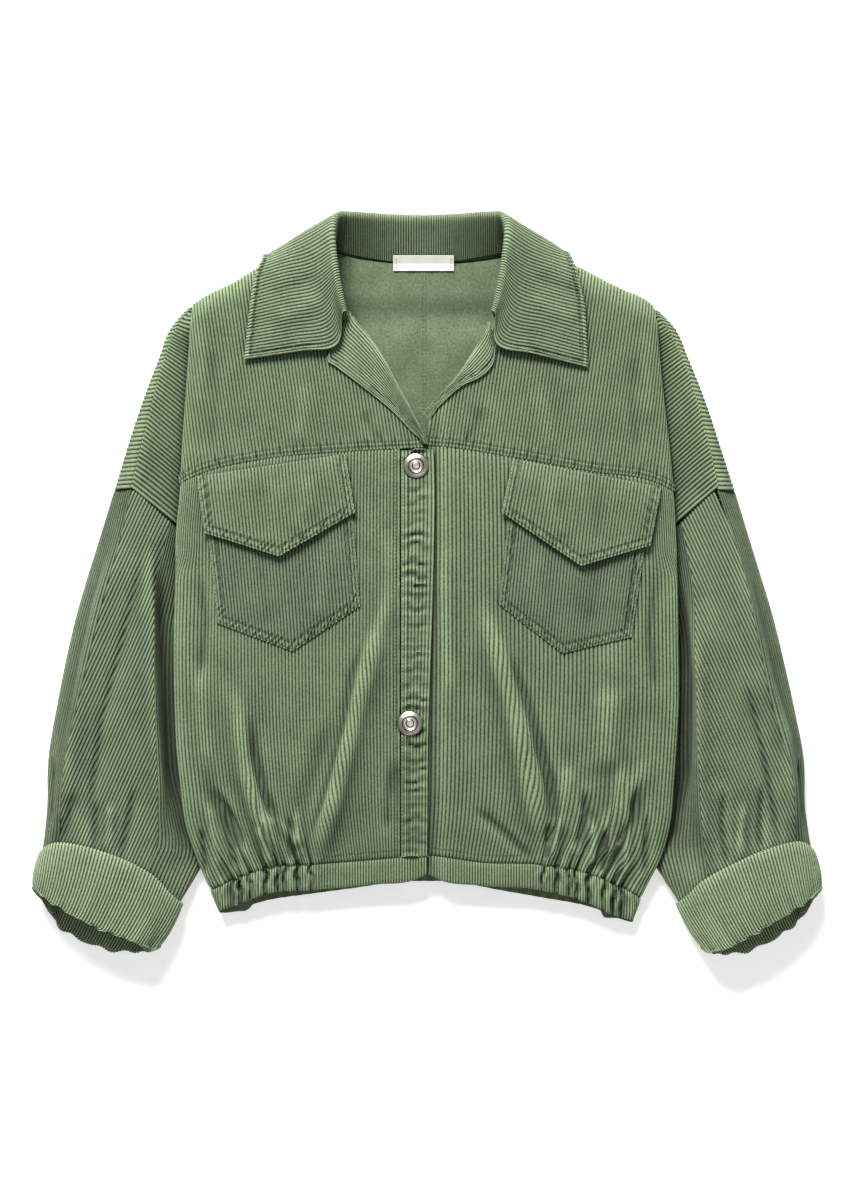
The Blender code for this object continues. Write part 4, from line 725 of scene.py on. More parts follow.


# ---------------------------------------------------------------- listed creases

# Soft creases: the piece, half width, rise (a trough where it is less than 0) and points on its line.
CREASES = {
    "front_r": (
        (13.0, 5.0, (35, -12), (50, -61), (63, -106), (74, -149), (85, -189), (95, -225), (99, -246)),
        (6.5, -4.4, (54, -40), (67, -80), (74, -120), (86, -165), (96, -200), (108, -232)),
        (8.0, 4.5, (171, -90), (167, -125), (161, -166), (151, -203), (140, -226), (129, -246)),
        (5.0, -4.5, (160, -110), (155, -150), (147, -185), (134, -215), (121, -240)),
        (6.0, 3.5, (146, -202), (130, -218), (112, -236)),
        (5.0, -3.6, (194, -181), (175, -213), (164, -240)),
        (9.0, 2.6, (205, -60), (203, -120), (196, -170)), (5.0, -1.8, (205, 20), (200, -30), (205, -90)),
        (7.0, 1.8, (36, 60), (34, 10), (38, -40)), (5.0, -2.2, (30, -150), (34, -190), (36, -225)),
        (3.5, 2.6, (118, -196), (116, -222), (113, -250)), (3.0, -2.8, (124, -205), (122, -250)),
        (3.5, 2.8, (152, -212), (146, -232), (140, -255)),
        (3.5, -3.0, (184, -196), (178, -226), (172, -258)),
        (4.0, 2.8, (198, -190), (192, -224), (186, -262)), (3.0, -2.6, (204, -214), (200, -262))),
    "front_l": (
        (13.0, 4.4, (51, -13), (58, -45), (75, -90), (89, -133), (97, -166), (103, -203), (105, -232)),
        (6.5, -4.0, (68, -50), (88, -100), (101, -140), (110, -175), (114, -215)),
        (6.0, -4.2, (139, -178), (144, -205), (133, -240)),
        (6.0, -4.4, (193, -166), (187, -205), (170, -240), (152, -260)),
        (14.0, 2.8, (166, -80), (162, -130), (160, -170)),
        (7.0, 3.4, (178, -150), (170, -195), (156, -235)),
        (4.5, -2.4, (40, -197), (67, -219), (86, -238), (99, -248)),
        (8.0, 2.4, (128, -150), (124, -190), (122, -228)),
        (5.0, -1.8, (205, 10), (201, -40), (206, -100)), (6.0, 1.6, (14, 40), (18, -30), (22, -110)),
        (3.5, 2.6, (118, -204), (116, -226), (113, -248)), (3.0, -2.8, (110, -212), (108, -246)),
        (3.5, 2.8, (148, -206), (150, -232), (146, -255)), (3.5, -3.0, (160, -212), (158, -260)),
        (4.0, 2.8, (184, -196), (180, -228), (178, -262)), (3.0, -2.6, (198, -200), (196, -262))),
    "sleeve_r": (
        (7.0, 5.0, (271, 66), (278, 40), (292, -13), (305, -74), (318, -146), (327, -218)),
        (6.0, -4.5, (252, 50), (262, 0), (276, -60), (292, -120), (300, -180), (306, -225)),
        (6.0, 4.5, (251, 59), (250, 0), (249, -74), (247, -122), (241, -194), (238, -236)),
        (7.0, -6.0, (240, 30), (236, -30), (232, -90), (229, -150), (226, -215)),
        (4.0, -3.0, (315, -180), (322, -205), (330, -232)), (4.0, -3.0, (296, -190), (300, -240)),
        (4.0, -3.4, (262, -175), (268, -210), (276, -250)), (4.0, 3.0, (283, -190), (286, -240)),
        (4.0, -2.6, (338, -150), (341, -215))),
    "sleeve_l": (
        (7.0, 5.0, (268, 62), (275, 38), (290, -25), (304, -86), (319, -134), (328, -194), (333, -228)),
        (6.0, -4.5, (283, -67), (300, -143), (313, -214), (318, -235)),
        (6.0, 4.2, (234, 11), (239, -25), (244, -74), (246, -146), (247, -194), (253, -261)),
        (7.0, -6.0, (228, 20), (230, -40), (232, -90), (231, -150), (228, -215)),
        (4.0, -3.0, (300, -175), (298, -215), (297, -238)), (4.0, 3.0, (284, -190), (280, -245)),
        (4.0, -3.2, (266, -180), (264, -215), (268, -250)), (4.0, -2.8, (335, -150), (341, -215))),
    "yoke_r": (
        (9.0, -1.6, (196, 225), (190, 170), (196, 118)), (10.0, 1.4, (110, 190), (112, 150), (118, 124)),
        (6.0, -1.5, (60, 160), (48, 140), (40, 126)), (7.0, 1.2, (205, 245), (203, 200), (207, 150))),
    "yoke_l": (
        (9.0, -1.6, (190, 220), (184, 170), (190, 112)), (10.0, 1.4, (100, 185), (104, 150), (112, 120)),
        (6.0, -1.4, (52, 165), (44, 145), (34, 127)), (7.0, 1.2, (199, 240), (197, 200), (203, 145))),
    "collar": (
        (8.0, 1.3, (88, 262), (110, 250), (138, 238)), (6.0, -1.0, (92, 280), (118, 270), (146, 262))),
    "pocket_r": (
        (9.0, 1.2, (95, 40), (92, 0), (100, -35)), (8.0, -1.0, (150, 40), (146, -10), (140, -40))),
    "pocket_l": (
        (9.0, 1.2, (100, 40), (97, 0), (104, -35)), (8.0, -1.0, (152, 40), (150, -10), (142, -40))),
    "flap_r": (
        (9.0, 1.3, (105, 105), (108, 75), (118, 45)), (9.0, -1.0, (150, 100), (150, 70), (148, 42))),
    "flap_l": (
        (9.0, 1.3, (108, 100), (110, 72), (120, 40)), (9.0, -1.0, (156, 95), (154, 62), (150, 36)))}


def beside(points, out, y):
    """Distance of places from a line through points, and how far along it they lie, 0 to 1."""
    corners = np.array(points, float)
    steps = np.diff(corners, axis=0)
    starts = np.concatenate([[0.0], np.cumsum(np.hypot(*steps.T))])
    best, along = np.full(out.shape, 1e9), np.zeros(out.shape)
    for (out0, y0), (ahead, up), start in zip(corners, steps, starts):
        length = math.hypot(ahead, up)
        t = np.clip(((out - out0) * ahead + (y - y0) * up) / length ** 2, 0, 1)
        away = np.hypot(out - out0 - ahead * t, y - y0 - up * t)
        along = np.where(away < best, (start + t * length) / starts[-1], along)
        best = np.minimum(best, away)
    return best, along


def creased(grid, name, closed=False):
    """The grid with the piece's creases raised or sunk on what faces up."""
    normal = normals(grid, closed)
    upwards = ease((np.abs(normal[..., 2]) - 0.15) / 0.5) * (grid[..., 2] > 9)
    total = np.zeros(upwards.shape)
    for half, rise, *points in CREASES[name]:
        away, along = beside(points, np.abs(grid[..., 0]), grid[..., 1])
        steep = 2.0 if rise > 0 else 1.4
        total += rise * ease(along / 0.3) * ease((1 - along) / 0.22) * np.exp(-(away / half) ** steep)
    total *= bpy.context.scene.jacket_cloth.fold_depth * upwards
    return grid + np.where(normal[..., 2:] > 0, normal, -normal) * total[..., None]


# ---------------------------------------------------------------- sizes and colours

def shade(red, green, blue):
    """A screen colour, 0 to 255, as the light it stands for."""
    return tuple(((c / 255 + 0.055) / 1.055) ** 2.4 if c > 10 else c / 3294 for c in (red, green, blue))


def colour(name, description, *screen):
    return bpy.props.FloatVectorProperty(name=name, description=description, default=shade(*screen),
                                         subtype="COLOR", size=3, min=0.0, max=1.0)


def number(name, description, default, low, high, **kind):
    return bpy.props.FloatProperty(name=name, description=description, default=default, min=low,
                                   max=high, **kind)


class JacketCloth(bpy.types.PropertyGroup):
    """Sizes of the corduroy and its sewing."""
    wale_depth: number("Wale depth", "From a wale's crest to the groove beside it", 0.0009, 0.0, 0.002,
                       unit="LENGTH")
    thickness: number("Cloth thickness", "Wall of the corduroy", 0.002, 0.001, 0.003, unit="LENGTH")
    fold_depth: number("Fold depth", "Strength of the creases laid by hand", 1.4, 0.0, 3.0,
                       subtype="FACTOR")
    # Painted highlight on the crests of folds and painted shade in their troughs.
    fold_shading: number("Crest wear", "How much paler the crests and darker the troughs are", 0.6, 0.0,
                       1.0, subtype="FACTOR")
    nap: number("Nap", "How much the pile's shade varies", 0.22, 0.0, 1.0, subtype="FACTOR")


class JacketColours(bpy.types.PropertyGroup):
    """Colours of the pieces."""
    front: colour("Fronts", "Lower fronts and hem", 99, 114, 88)
    yoke: colour("Yokes", "Yokes and shoulders", 95, 110, 84)
    sleeve: colour("Sleeves", "Sleeves", 97, 111, 87)
    collar: colour("Collar", "Collar and lapels", 103, 118, 92)
    cuff: colour("Cuffs", "Turned-up cuffs", 112, 127, 100)
    # The pockets are painted darker than the flaps over them: painted shade of the flaps.
    pocket: colour("Pockets", "Patch pockets", 91, 106, 83)
    back: colour("Back", "Back panels", 96, 111, 85)
    # The thread is painted darker than the cloth: painted shade of the needle holes and grooves it lies in.
    thread: colour("Thread", "Stitches", 64, 76, 56)
    metal: colour("Snaps", "Snap caps", 200, 195, 182)
    label: colour("Label", "Neck label", 214, 211, 200)


class JacketStudio(bpy.types.PropertyGroup):
    """Camera, lamps and floor."""
    camera_height: number("Camera height", "Camera above the floor", 3.0, 1.0, 8.0, unit="LENGTH")
    lens: number("Lens", "Focal length", 100.0, 20.0, 300.0, unit="CAMERA")
    lamp_power: number("Lamp power", "Soft lamp above the collar, in watts", 408.0, 0.0, 5000.0)
    floor: colour("Floor", "Studio floor", 250, 250, 250)


def times(colour, share):
    """A colour made darker or lighter, as a socket takes it."""
    return (*[min(1.0, c * share) for c in colour], 1)


class Nodes:
    """A new material's nodes."""

    def __init__(self, name):
        self.material = bpy.data.materials.new(name)
        self.material.use_nodes = True
        self.tree = self.material.node_tree
        self.shader = self.tree.nodes["Principled BSDF"]

    def plug(self, made, inputs):
        """Set or link a node's inputs by name, or by number: _0 and _1."""
        for key, value in inputs.items():
            socket = made.inputs[int(key[1:]) if key[0] == "_" else key.replace("_", " ")]
            if isinstance(value, bpy.types.NodeSocket):
                self.tree.links.new(value, socket)
            else:
                socket.default_value = value

    def add(self, kind, settings=None, **inputs):
        """A node with its settings and inputs, as the output that is used of it."""
        made = self.tree.nodes.new("ShaderNode" + kind)
        for key, value in (settings or {}).items():
            setattr(made, key, value)
        self.plug(made, inputs)
        return made.outputs[OUTPUTS[kind]]

    def span(self, value, *ends):
        """A value's span moved to another one."""
        keys = ("From_Min", "From_Max", "To_Min", "To_Max")
        return self.add("MapRange", Value=value, **dict(zip(keys, ends)))

    def mix(self, factor, a, b, blend="MIX"):
        return self.add("Mix", {"data_type": "RGBA", "blend_type": blend}, Factor=factor, A=a, B=b)

    def finish(self, grain, strength, distance, **inputs):
        """The material with its colour and surface linked."""
        bump = self.add("Bump", Strength=strength, Distance=distance, Height=grain)
        self.plug(self.shader, {**inputs, "Normal": bump})
        return self.material


# The output that is used of each kind of node.
OUTPUTS = {"TexCoord": "Object", "Mapping": "Vector", "TexNoise": "Fac", "MapRange": "Result",
           "Math": "Value", "Mix": "Result", "AmbientOcclusion": "AO", "Bump": "Normal", "Attribute": "Fac"}


def corduroy(name, colour):
    """Corduroy: painted shade in the grooves and painted highlight on the crests of the wales, a mottled nap,
    paler worn edges, painted highlight on the crests of folds and painted shade in their troughs, and painted
    shade in nooks.
    """
    new = Nodes(name)
    rib, wear = (new.add("Attribute", {"attribute_name": key}) for key in ("rib", "wear"))
    lie = new.add("Attribute", {"attribute_name": "lie"}).node.outputs["Vector"]
    streaks = new.add("Mapping", Scale=(520, 420, 1), Vector=lie)
    fine = new.add("TexNoise", Scale=1.0, Detail=3.0, Roughness=0.6, Vector=streaks)
    mottle = new.add("TexNoise", Scale=38.0, Detail=5.0, Roughness=0.65, Vector=new.add("TexCoord"))
    # The grooves between the wales are painted dark and their crests painted light: painted shade and painted
    # highlight. The inner face takes a middle tone.
    crest = new.span(rib, 0.1, 1.0, 0.0, 1.0)
    inside = new.span(rib, -0.5, -0.4, 0.56, 0.0)
    lift = new.add("Math", {"operation": "MAXIMUM"}, _0=crest, _1=inside)
    nap = bpy.context.scene.jacket_cloth.nap
    spread = new.span(fine, 0.3, 0.7, -nap, nap)
    blotch = new.span(mottle, 0.3, 0.7, -nap * 0.6, nap * 0.6)
    uneven = new.add("Math", {"operation": "ADD"}, _0=spread, _1=blotch)
    level = new.add("Math", {"operation": "ADD", "use_clamp": True}, _0=lift, _1=uneven)
    base = new.mix(level, times(colour, 0.2), times(colour, 1.36))
    # Paler above 0: worn edges, with painted highlight on the crests of folds and on lit parts.
    worn_and_lit = new.mix(new.span(wear, 0.0, 1.0, 0.0, 0.75), base, (1.95, 1.9, 1.85, 1), "MULTIPLY")
    # Darker below 0: painted shade in the troughs of folds and on shaded parts, and the darker rows of
    # stitches.
    sunk = new.mix(new.span(wear, 0.0, -1.0, 0.0, 0.75), worn_and_lit, times(colour, 0.16))
    # Painted shade in nooks and creases, taken from ambient occlusion.
    nook_shade = new.add("AmbientOcclusion", {"samples": 6}, Distance=0.015)
    with_nook_shade = new.mix(new.span(nook_shade, 0.3, 0.85, 0.85, 0.0), sunk, times(colour, 0.12))
    return new.finish(fine, 0.35, 0.0006, Base_Color=with_nook_shade, Roughness=0.92, Specular_IOR_Level=0.15,
                      Sheen_Weight=0.12, Sheen_Roughness=0.5, Sheen_Tint=times(colour, 2.2))


def plain(name, colour, roughness, metallic=0.0, grain=0.0, scale=900.0):
    """A material with a fine grain in its colour and surface."""
    new = Nodes(name)
    noise = new.add("TexNoise", Scale=scale, Detail=4.0, Vector=new.add("TexCoord"))
    mixed = new.mix(noise, times(colour, 1 - grain), times(colour, 1 + grain))
    return new.finish(noise, grain, 0.0003, Base_Color=mixed, Roughness=roughness, Metallic=metallic)


def cloth_of(name):
    """The corduroy of a group of pieces, made once."""
    found = bpy.data.materials.get(name + " corduroy")
    return found or corduroy(name + " corduroy", getattr(bpy.context.scene.jacket_colours, name))


def thread():
    """The thread of every seam, made once."""
    found = bpy.data.materials.get("thread")
    return found or plain("thread", bpy.context.scene.jacket_colours.thread, 0.8, grain=0.25)


# Pieces of each slot and colour group, with their cuts: width, length and area.
CUTS = {
    ("front", "front"): {"front_r": (0.290, 0.370, 0.0882), "front_l": (0.310, 0.370, 0.1030),
                         "placket_r": (0.0295, 0.366, 0.0108)},
    ("yoke", "yoke"): {"yoke_r": (0.270, 0.215, 0.0408), "yoke_l": (0.270, 0.215, 0.0418)},
    ("back", "back"): {"back_r": (0.290, 0.600, 0.1231), "back_l": (0.290, 0.600, 0.1216)},
    ("collar", "collar"): {"collar": (0.480, 0.140, 0.0451), "lapel_r": (0.060, 0.120, 0.0038),
                           "lapel_l": (0.030, 0.105, 0.0018)},
    ("sleeve", "sleeve"): {"sleeve_r": (0.330, 0.370, 0.0891), "sleeve_l": (0.330, 0.370, 0.0881)},
    ("cuff", "cuff"): {"cuff_r": (0.330, 0.120, 0.0270), "cuff_l": (0.330, 0.120, 0.0262)},
    ("hem", "front"): {"hem_r": (0.260, 0.025, 0.0055), "hem_l": (0.260, 0.025, 0.0057),
                       "hem_back": (0.350, 0.025, 0.0081)},
    ("pocket", "pocket"): {"pocket_r": (0.140, 0.150, 0.0170), "pocket_l": (0.140, 0.150, 0.0162)},
    ("pocket", "yoke"): {"flap_r": (0.140, 0.095, 0.0096), "flap_l": (0.140, 0.095, 0.0096)}}


def place(obj, name):
    """Let an object ride the jacket's body and stand for its CAD node."""
    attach(obj, "root")
    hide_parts(name)


def place_piece(name, cloth):
    """Make a piece of cloth in its colour group's corduroy and place it."""
    (slot, group), pieces = next(found for found in CUTS.items() if name in found[1])
    obj = cloth.build(name + "_cloth", cloth_of(group), thread())
    place(obj, name)


# ---------------------------------------------------------------- the pieces' grids

# Waves, each a size, a rate per millimetre and a phase, that make the hem's gathers and the placket's
# puckers uneven.
TUCK_WANDER = ((2.2, 0.19, 0), (1.2, 0.47, 1))
TUCK_SIZES = ((0.35, 0.23, 0), (0.2, 0.611, 0))
TUCK_RISE = 6.4        # height of the gathers
PLACKET_WANDER = ((2.6, 0.11, 0), (1.2, 0.31, 0))
PLACKET_SIZES = ((0.35, 0.043, 1.0), (0.25, 0.17, 0))
PLACKET_PITCH = 11.0   # from one of the placket's puckers to the next
# Rows of stitches, in from the edges or seams.
SEWN_ROWS = (1.7, 8.2)     # pockets and flaps
YOKE_ROWS = (3.2, 7.6)
PLACKET_ROWS = (1.8, 7.4)
FRONT_ROW = 10.0       # above the hem
BESIDE_ROW = 4.6       # on the right front, beside the placket
NECK_ROWS = (1.2, 4.0)     # down the inside of the back's centre seam
COLLAR_ROW = 6.0
LABEL_ROW = 2.6
FLAP_CURL = 4.8        # the flaps' points stand off this far more
YOKE_LEAN = 8.5        # degrees that a yoke's wales lean out
FACET_LEAN = 24.0      # the same for the sleeves' wales between their two folds
# Cloth across each piece, which sets how many wales it has.
FRONT_WIDTH = 182.0
TURNED_WIDTH = 62.0
HEM_BACK_WIDTH = 340.0
PLACKET_WIDTH = 26.5
POCKET_WIDTH = 133.0
BACK_COLUMNS = 74 * POINTS_PER_WALE
ROLL_COLUMNS = 44 * POINTS_PER_WALE
SHOULDER_COLUMNS = 48 * POINTS_PER_WALE
TUBE_COLUMNS = 62 * POINTS_PER_WALE
CUFF_COLUMNS = 106 * POINTS_PER_WALE
CUFF_LEAN = 2.6        # points that a cuff's wales lean by from row to row
CUFF_CORNERS = 13.0    # how far the ends of a cuff's mouth are rounded off
# Walls, depths of the wales and shifts of tone where they aren't the cloth's own: the sleeve's tube is
# painted darker, painted shade, and its facet between the folds painted lighter, painted highlight; the
# cuffs, hem and lapels are made paler.
WALLS = {"collar": 1.8, "pocket": 1.8, "cuff": 1.9, "hem": 1.7, "label": 0.8}
WALE_DEPTHS = {"back": 0.45, "sleeve": 1.3, "cuff": 1.2}
TONE_AND_SHADE = {"tube": -0.4, "facet": 0.12, "cuff": 0.25, "hem": 0.35, "lapel": 0.25}


def waves(at, parts):
    """Sum of waves: each has a size, a rate and a phase."""
    return sum(size * np.sin(at * rate + phase) for size, rate, phase in parts)


def fine(length, pitch=WALE_PITCH):
    """Shares from 0 to 1, a quarter wale apart over this length."""
    return np.linspace(0, 1, max(1, round(length / pitch)) * POINTS_PER_WALE + 1)


def whole_wales(count):
    """How many of these columns make whole wales."""
    return (count - 1) // POINTS_PER_WALE * POINTS_PER_WALE + 1


def hem_line(side, out):
    return look_up(HEM_TOP, side, out)


def yoke_line(side, out):
    return look_up(YOKE_SEAM, side, out)


def front_plan(side, v, gap=GAP):
    """Cloth coordinates and heights up the body of a lower front's wales."""
    v = np.asarray(v)[:, None]
    edge_y = hem_line(side, 212.0) * (1 - v) + yoke_line(side, 212.0) * v
    start = edge_cloth(side, edge_y)
    flat_u = fine(FRONT_WIDTH)[None]
    turned = start + turned_run(edge_y) * fine(TURNED_WIDTH)[None, 1:]
    cloth = np.hstack([FRONT_OPEN[side] * (1 - flat_u) + start * flat_u, turned])
    edge = start + CURL_START
    at = np.minimum(cloth, edge)
    low = hem_line(side, at) + gap
    low = np.where(cloth > edge, under_hem(side, cloth, edge, low), low)
    return cloth, low * (1 - v) + (yoke_line(side, at) - gap) * v


def front_cloth(side):
    """Outer face of a lower front, gathered into the hem."""
    cloth, y = front_plan(side, shares((0.16, 25), (0.97, 57), (0.982, 1), (0.992, 1), (1.0, 1)))
    above = y - hem_line(side, np.minimum(cloth, 200))
    last = float(edge_cloth(side, hem_line(side, 212.0))) + 11
    puckers = tucks(cloth[:1], last) * np.exp(-above / tuck_length(cloth[:1]))
    if side == "r":
        puckers = puckers + 0.9 * placket_beat(cloth, y) * bell(cloth - FRONT_OPEN["r"], 4.5)
    below = yoke_line(side, np.minimum(cloth, 224)) - y
    dip = -1.2 * np.exp(-above / 2.2) - 0.5 * np.exp(-below / 2.0)
    return tucked(raised_front(side, cloth, y, puckers + dip), "first last")


def tucks(cloth, last):
    """Height of the gathers at the hem: round crests with sharp gaps, unevenly spaced."""
    beat = np.abs(np.sin(math.pi * (cloth + waves(cloth, TUCK_WANDER)) / GATHER_PITCH)) ** 1.3 - 0.4
    ends = ease((cloth - GATHER_FROM + 4) / 12) * ease((last + 8 - cloth) / 12)
    return TUCK_RISE * (1 + waves(cloth, TUCK_SIZES)) * ends * beat


def tuck_length(cloth):
    """How far up the front each gather runs."""
    return 19 + 9 * np.sin(cloth * 0.21 + 0.5) * np.sin(cloth * 0.083) + 5 * np.sin(cloth * 0.37)


def yoke_cloth(side):
    """Outer face of a yoke: wales that lean out from the seam, up to the opening, shoulder or fold."""
    opening = YOKE_OPEN[side]
    lean = math.tan(math.radians(YOKE_LEAN))
    first = opening["out"][0]
    steps = POINTS_PER_WALE * int((232.0 - first) / WALE_PITCH)
    foot = first + 1.0 + WALE_PITCH / POINTS_PER_WALE * np.arange(steps)
    foot_y = yoke_line(side, np.minimum(foot, 224))
    climb = np.arange(0, 215, 0.5)[:, None]
    y = foot_y[None] + climb
    cloth = foot[None] + lean * climb
    inside = ((cloth <= edge_cloth(side, y, fold_run(y)))
              & (y <= look_up(SHOULDER, side, np.minimum(cloth, 226)))
              & (cloth >= look_up(opening, "out", y)))
    height = np.argmin(np.vstack([inside, np.zeros((1, steps), bool)]), axis=0) * 0.5
    keep = np.flatnonzero(height > 2.5)
    keep = keep[:whole_wales(len(keep))]
    up = shares((0.085, 13), (0.11, 1), (0.94, 29), (0.96, 1), (0.98, 1), (1.0, 1))
    above = height[keep] * up[:, None]
    cloth = foot[keep] + lean * above
    lap = 1.0 * ease((11 - above) / 5) - 1.0 * np.exp(-above / 0.9) + sewn(above, YOKE_ROWS, cloth)
    return raised_front(side, cloth, foot_y[keep] + above, lap)


def shoulder_cloth(side):
    """The front of the drop shoulder: rows along its wales, from the fold to the shoulder seam."""
    at = np.linspace(46, TIP_Y[side], SHOULDER_COLUMNS + 1)
    start = front_point(side, edge_cloth(side, at, fold_run(at)), at)[:, None]
    out, y, z = (look_up(SHOULDER_SEAM[side], key, at) for key in ("seam_out", "seam_y", "seam_z"))
    end = np.stack([SIGN[side] * out, y, z], -1)[:, None]
    t = np.linspace(0, 1, 25)[None, :]
    grid = start * (1 - t[..., None]) + end * t[..., None]
    grid[..., 2] = start[..., 2] + (end[..., 2] - start[..., 2]) * (1 - (1 - t) ** 2.2)
    bow = (7 * ease((110 - at) / 40) - 6 * ease((74 - at) / 28))[:, None] * 4 * t * (1 - t)
    grid[..., 0] += SIGN[side] * 0.6 * bow
    grid[..., 1] += 0.8 * bow
    return grid.transpose(1, 0, 2)


def back_cloth(side):
    """Outer faces of a back panel: the flat part, and the part turned up to the shoulder seam."""
    flat = back_grid(side)
    if side == "r":
        flat[:, 0, 0] = 0.19
    roll = back_roll(side, flat[BACK_LOW_ROWS:, -1])
    down = distances(roll, 0)[:, 0]
    t = np.linspace(0, 1, ROLL_COLUMNS + 1)
    finer = np.stack([resampled(roll[:, k], down / down[-1], t) for k in range(roll.shape[1])])
    return flat, tucked(finer, "last", 2.2, 1.2)


def even_rings(rings):
    """Closed rings resampled to points at even distances, which lean on from row to row."""
    found = []
    for row, ring in enumerate(rings):
        loop = np.vstack([ring, ring[:1]])
        at = lengths(loop)
        share = (np.arange(CUFF_COLUMNS) + CUFF_LEAN * row) % CUFF_COLUMNS / CUFF_COLUMNS
        found.append(resampled(loop, at, share * at[-1]))
    return np.stack(found)


def between(grid, r, c):
    """Points of a grid at places between its rows and columns."""
    r0, c0 = (np.clip(at.astype(int), 0, size - 2) for at, size in zip((r, c), grid.shape))
    fr, fc = (r - r0)[:, None], (c - c0)[:, None]
    return ((grid[r0, c0] * (1 - fc) + grid[r0, c0 + 1] * fc) * (1 - fr)
            + (grid[r0 + 1, c0] * (1 - fc) + grid[r0 + 1, c0 + 1] * fc) * fr)


def lay_wales(grid, field, rows=64, shortest=6.0):
    """Columns along the level lines of a field on a surface, a quarter wale apart.

    The field counts wales. It rises from the grid's first column to its last in every row.
    """
    step = 1.0 / POINTS_PER_WALE
    places = np.arange(field.shape[1] * 1.0)
    found = []
    for level in np.arange(math.ceil(field.min() / step), math.floor(field.max() / step)) * step:
        inside = np.flatnonzero((field[:, 0] <= level) & (field[:, -1] >= level))
        if len(inside) < 2:
            continue
        path = [(r, np.interp(level, field[r], places)) for r in range(inside[0], inside[-1] + 1)]
        for here, ahead in ((inside[0], -1), (inside[-1], 1)):
            if 0 <= here + ahead < len(field):
                side = 0 if field[here + ahead, 0] > level else -1
                share = (level - field[here, side]) / (field[here + ahead, side] - field[here, side])
                path.append((here + ahead * min(max(share, 0.0), 1.0), places[side]))
        at, across = np.array(sorted(path)).T
        r = np.linspace(at[0], at[-1], rows)
        line = between(grid, r, np.interp(r, at, across))
        if np.linalg.norm(line[-1] - line[0]) > shortest:
            found.append(line)
    return np.stack(found[:whole_wales(len(found))], 1)


def tucked(grid, sides, reach=2.5, sink=1.4):
    """The grid with a row added at its first or last row, run on under the next piece."""
    for side, end, behind in (("first", 0, 1), ("last", -1, -2)):
        if side in sides:
            up = normals(grid)[end]
            up = up * np.sign(up[..., 2:].mean() or 1.0)
            row = (grid[end] + unit(grid[end] - grid[behind]) * reach - up * sink)[None]
            grid = np.vstack([row, grid] if side == "first" else [grid, row])
    return grid


def sleeve_cloth(side):
    """A sleeve in two stretches: round the tube behind its folds, and the facet between them."""
    rings = signed(sleeve_grid(side), side)
    ahead = unit(rings[:1] - rings[1:2])
    top = rings[:1] + ahead * 3.0 + (rings[0].mean(axis=0) - rings[:1]) * [0.02, 0.02, 0.1]
    rings = creased(np.vstack([top, rings]), "sleeve_" + side, True)
    tube = np.concatenate([rings[:, 4 * RING_SAMPLES:], rings[:, :2 * RING_SAMPLES + 1]], axis=1)
    tube = np.stack([resampled(row, at, np.linspace(0, at[-1], TUBE_COLUMNS + 1))
                     for row, at in ((row, lengths(row)) for row in tube)])
    facet = rings[:, 2 * RING_SAMPLES:4 * RING_SAMPLES + 1]
    turn = math.radians(FACET_LEAN)
    field = (np.abs(facet[..., 0]) * math.cos(turn) + facet[..., 1] * math.sin(turn)) / WALE_PITCH
    return tube, lay_wales(facet, field)


def cuff_cloth(side):
    """A turned-up cuff: its rolled upper edge, outer layer, wavy fold at the mouth and inner layer."""
    rings = even_rings(signed(cuff_grid(side), side))
    outward = normals(rings, True) * -SIGN[side]
    away = unit(rings[4:5] - rings[:1])
    lead = unit(away * LEVEL)
    turn = 2 * math.pi * np.arange(rings.shape[1]) / rings.shape[1]
    at_mouth = bell(np.arange(len(rings)) - 5.5, 2.2)[:, None]
    under = ease((11 - rings[..., 2]) / 7)
    low_wave = 3.0 + 1.7 * np.sin(9 * turn + 1.4 * np.sin(4 * turn)) + 0.9 * np.sin(16 * turn + 2.0)
    high_wave = 0.8 * np.sin(17 * turn + np.sin(5 * turn))
    wide = ((rings - rings.mean(1, keepdims=True)) * np.cross(lead, [0, 0, 1])).sum(-1)
    corners = CUFF_CORNERS * np.abs(wide / np.abs(wide).max(1, keepdims=True)) ** 7
    wave = low_wave * under + high_wave * (1 - under) - corners
    dent = (0.7 * np.sin(11 * turn + 1.0) + 0.5 * np.sin(23 * turn))[None] * (1 - under)
    rings = rings + lead * (wave * at_mouth)[..., None] + outward * (dent * at_mouth)[..., None]
    rolled = [rings[0] - away[0] * back - outward[0] * sink for back, sink in ((0.2, 1.5), (1.0, 0.6))]
    rings = np.stack([*rolled, *rings])
    last = len(rings) - 1
    return curve(np.arange(last + 1.0), rings, np.concatenate([[0, 1], np.linspace(2, last, 34)]))


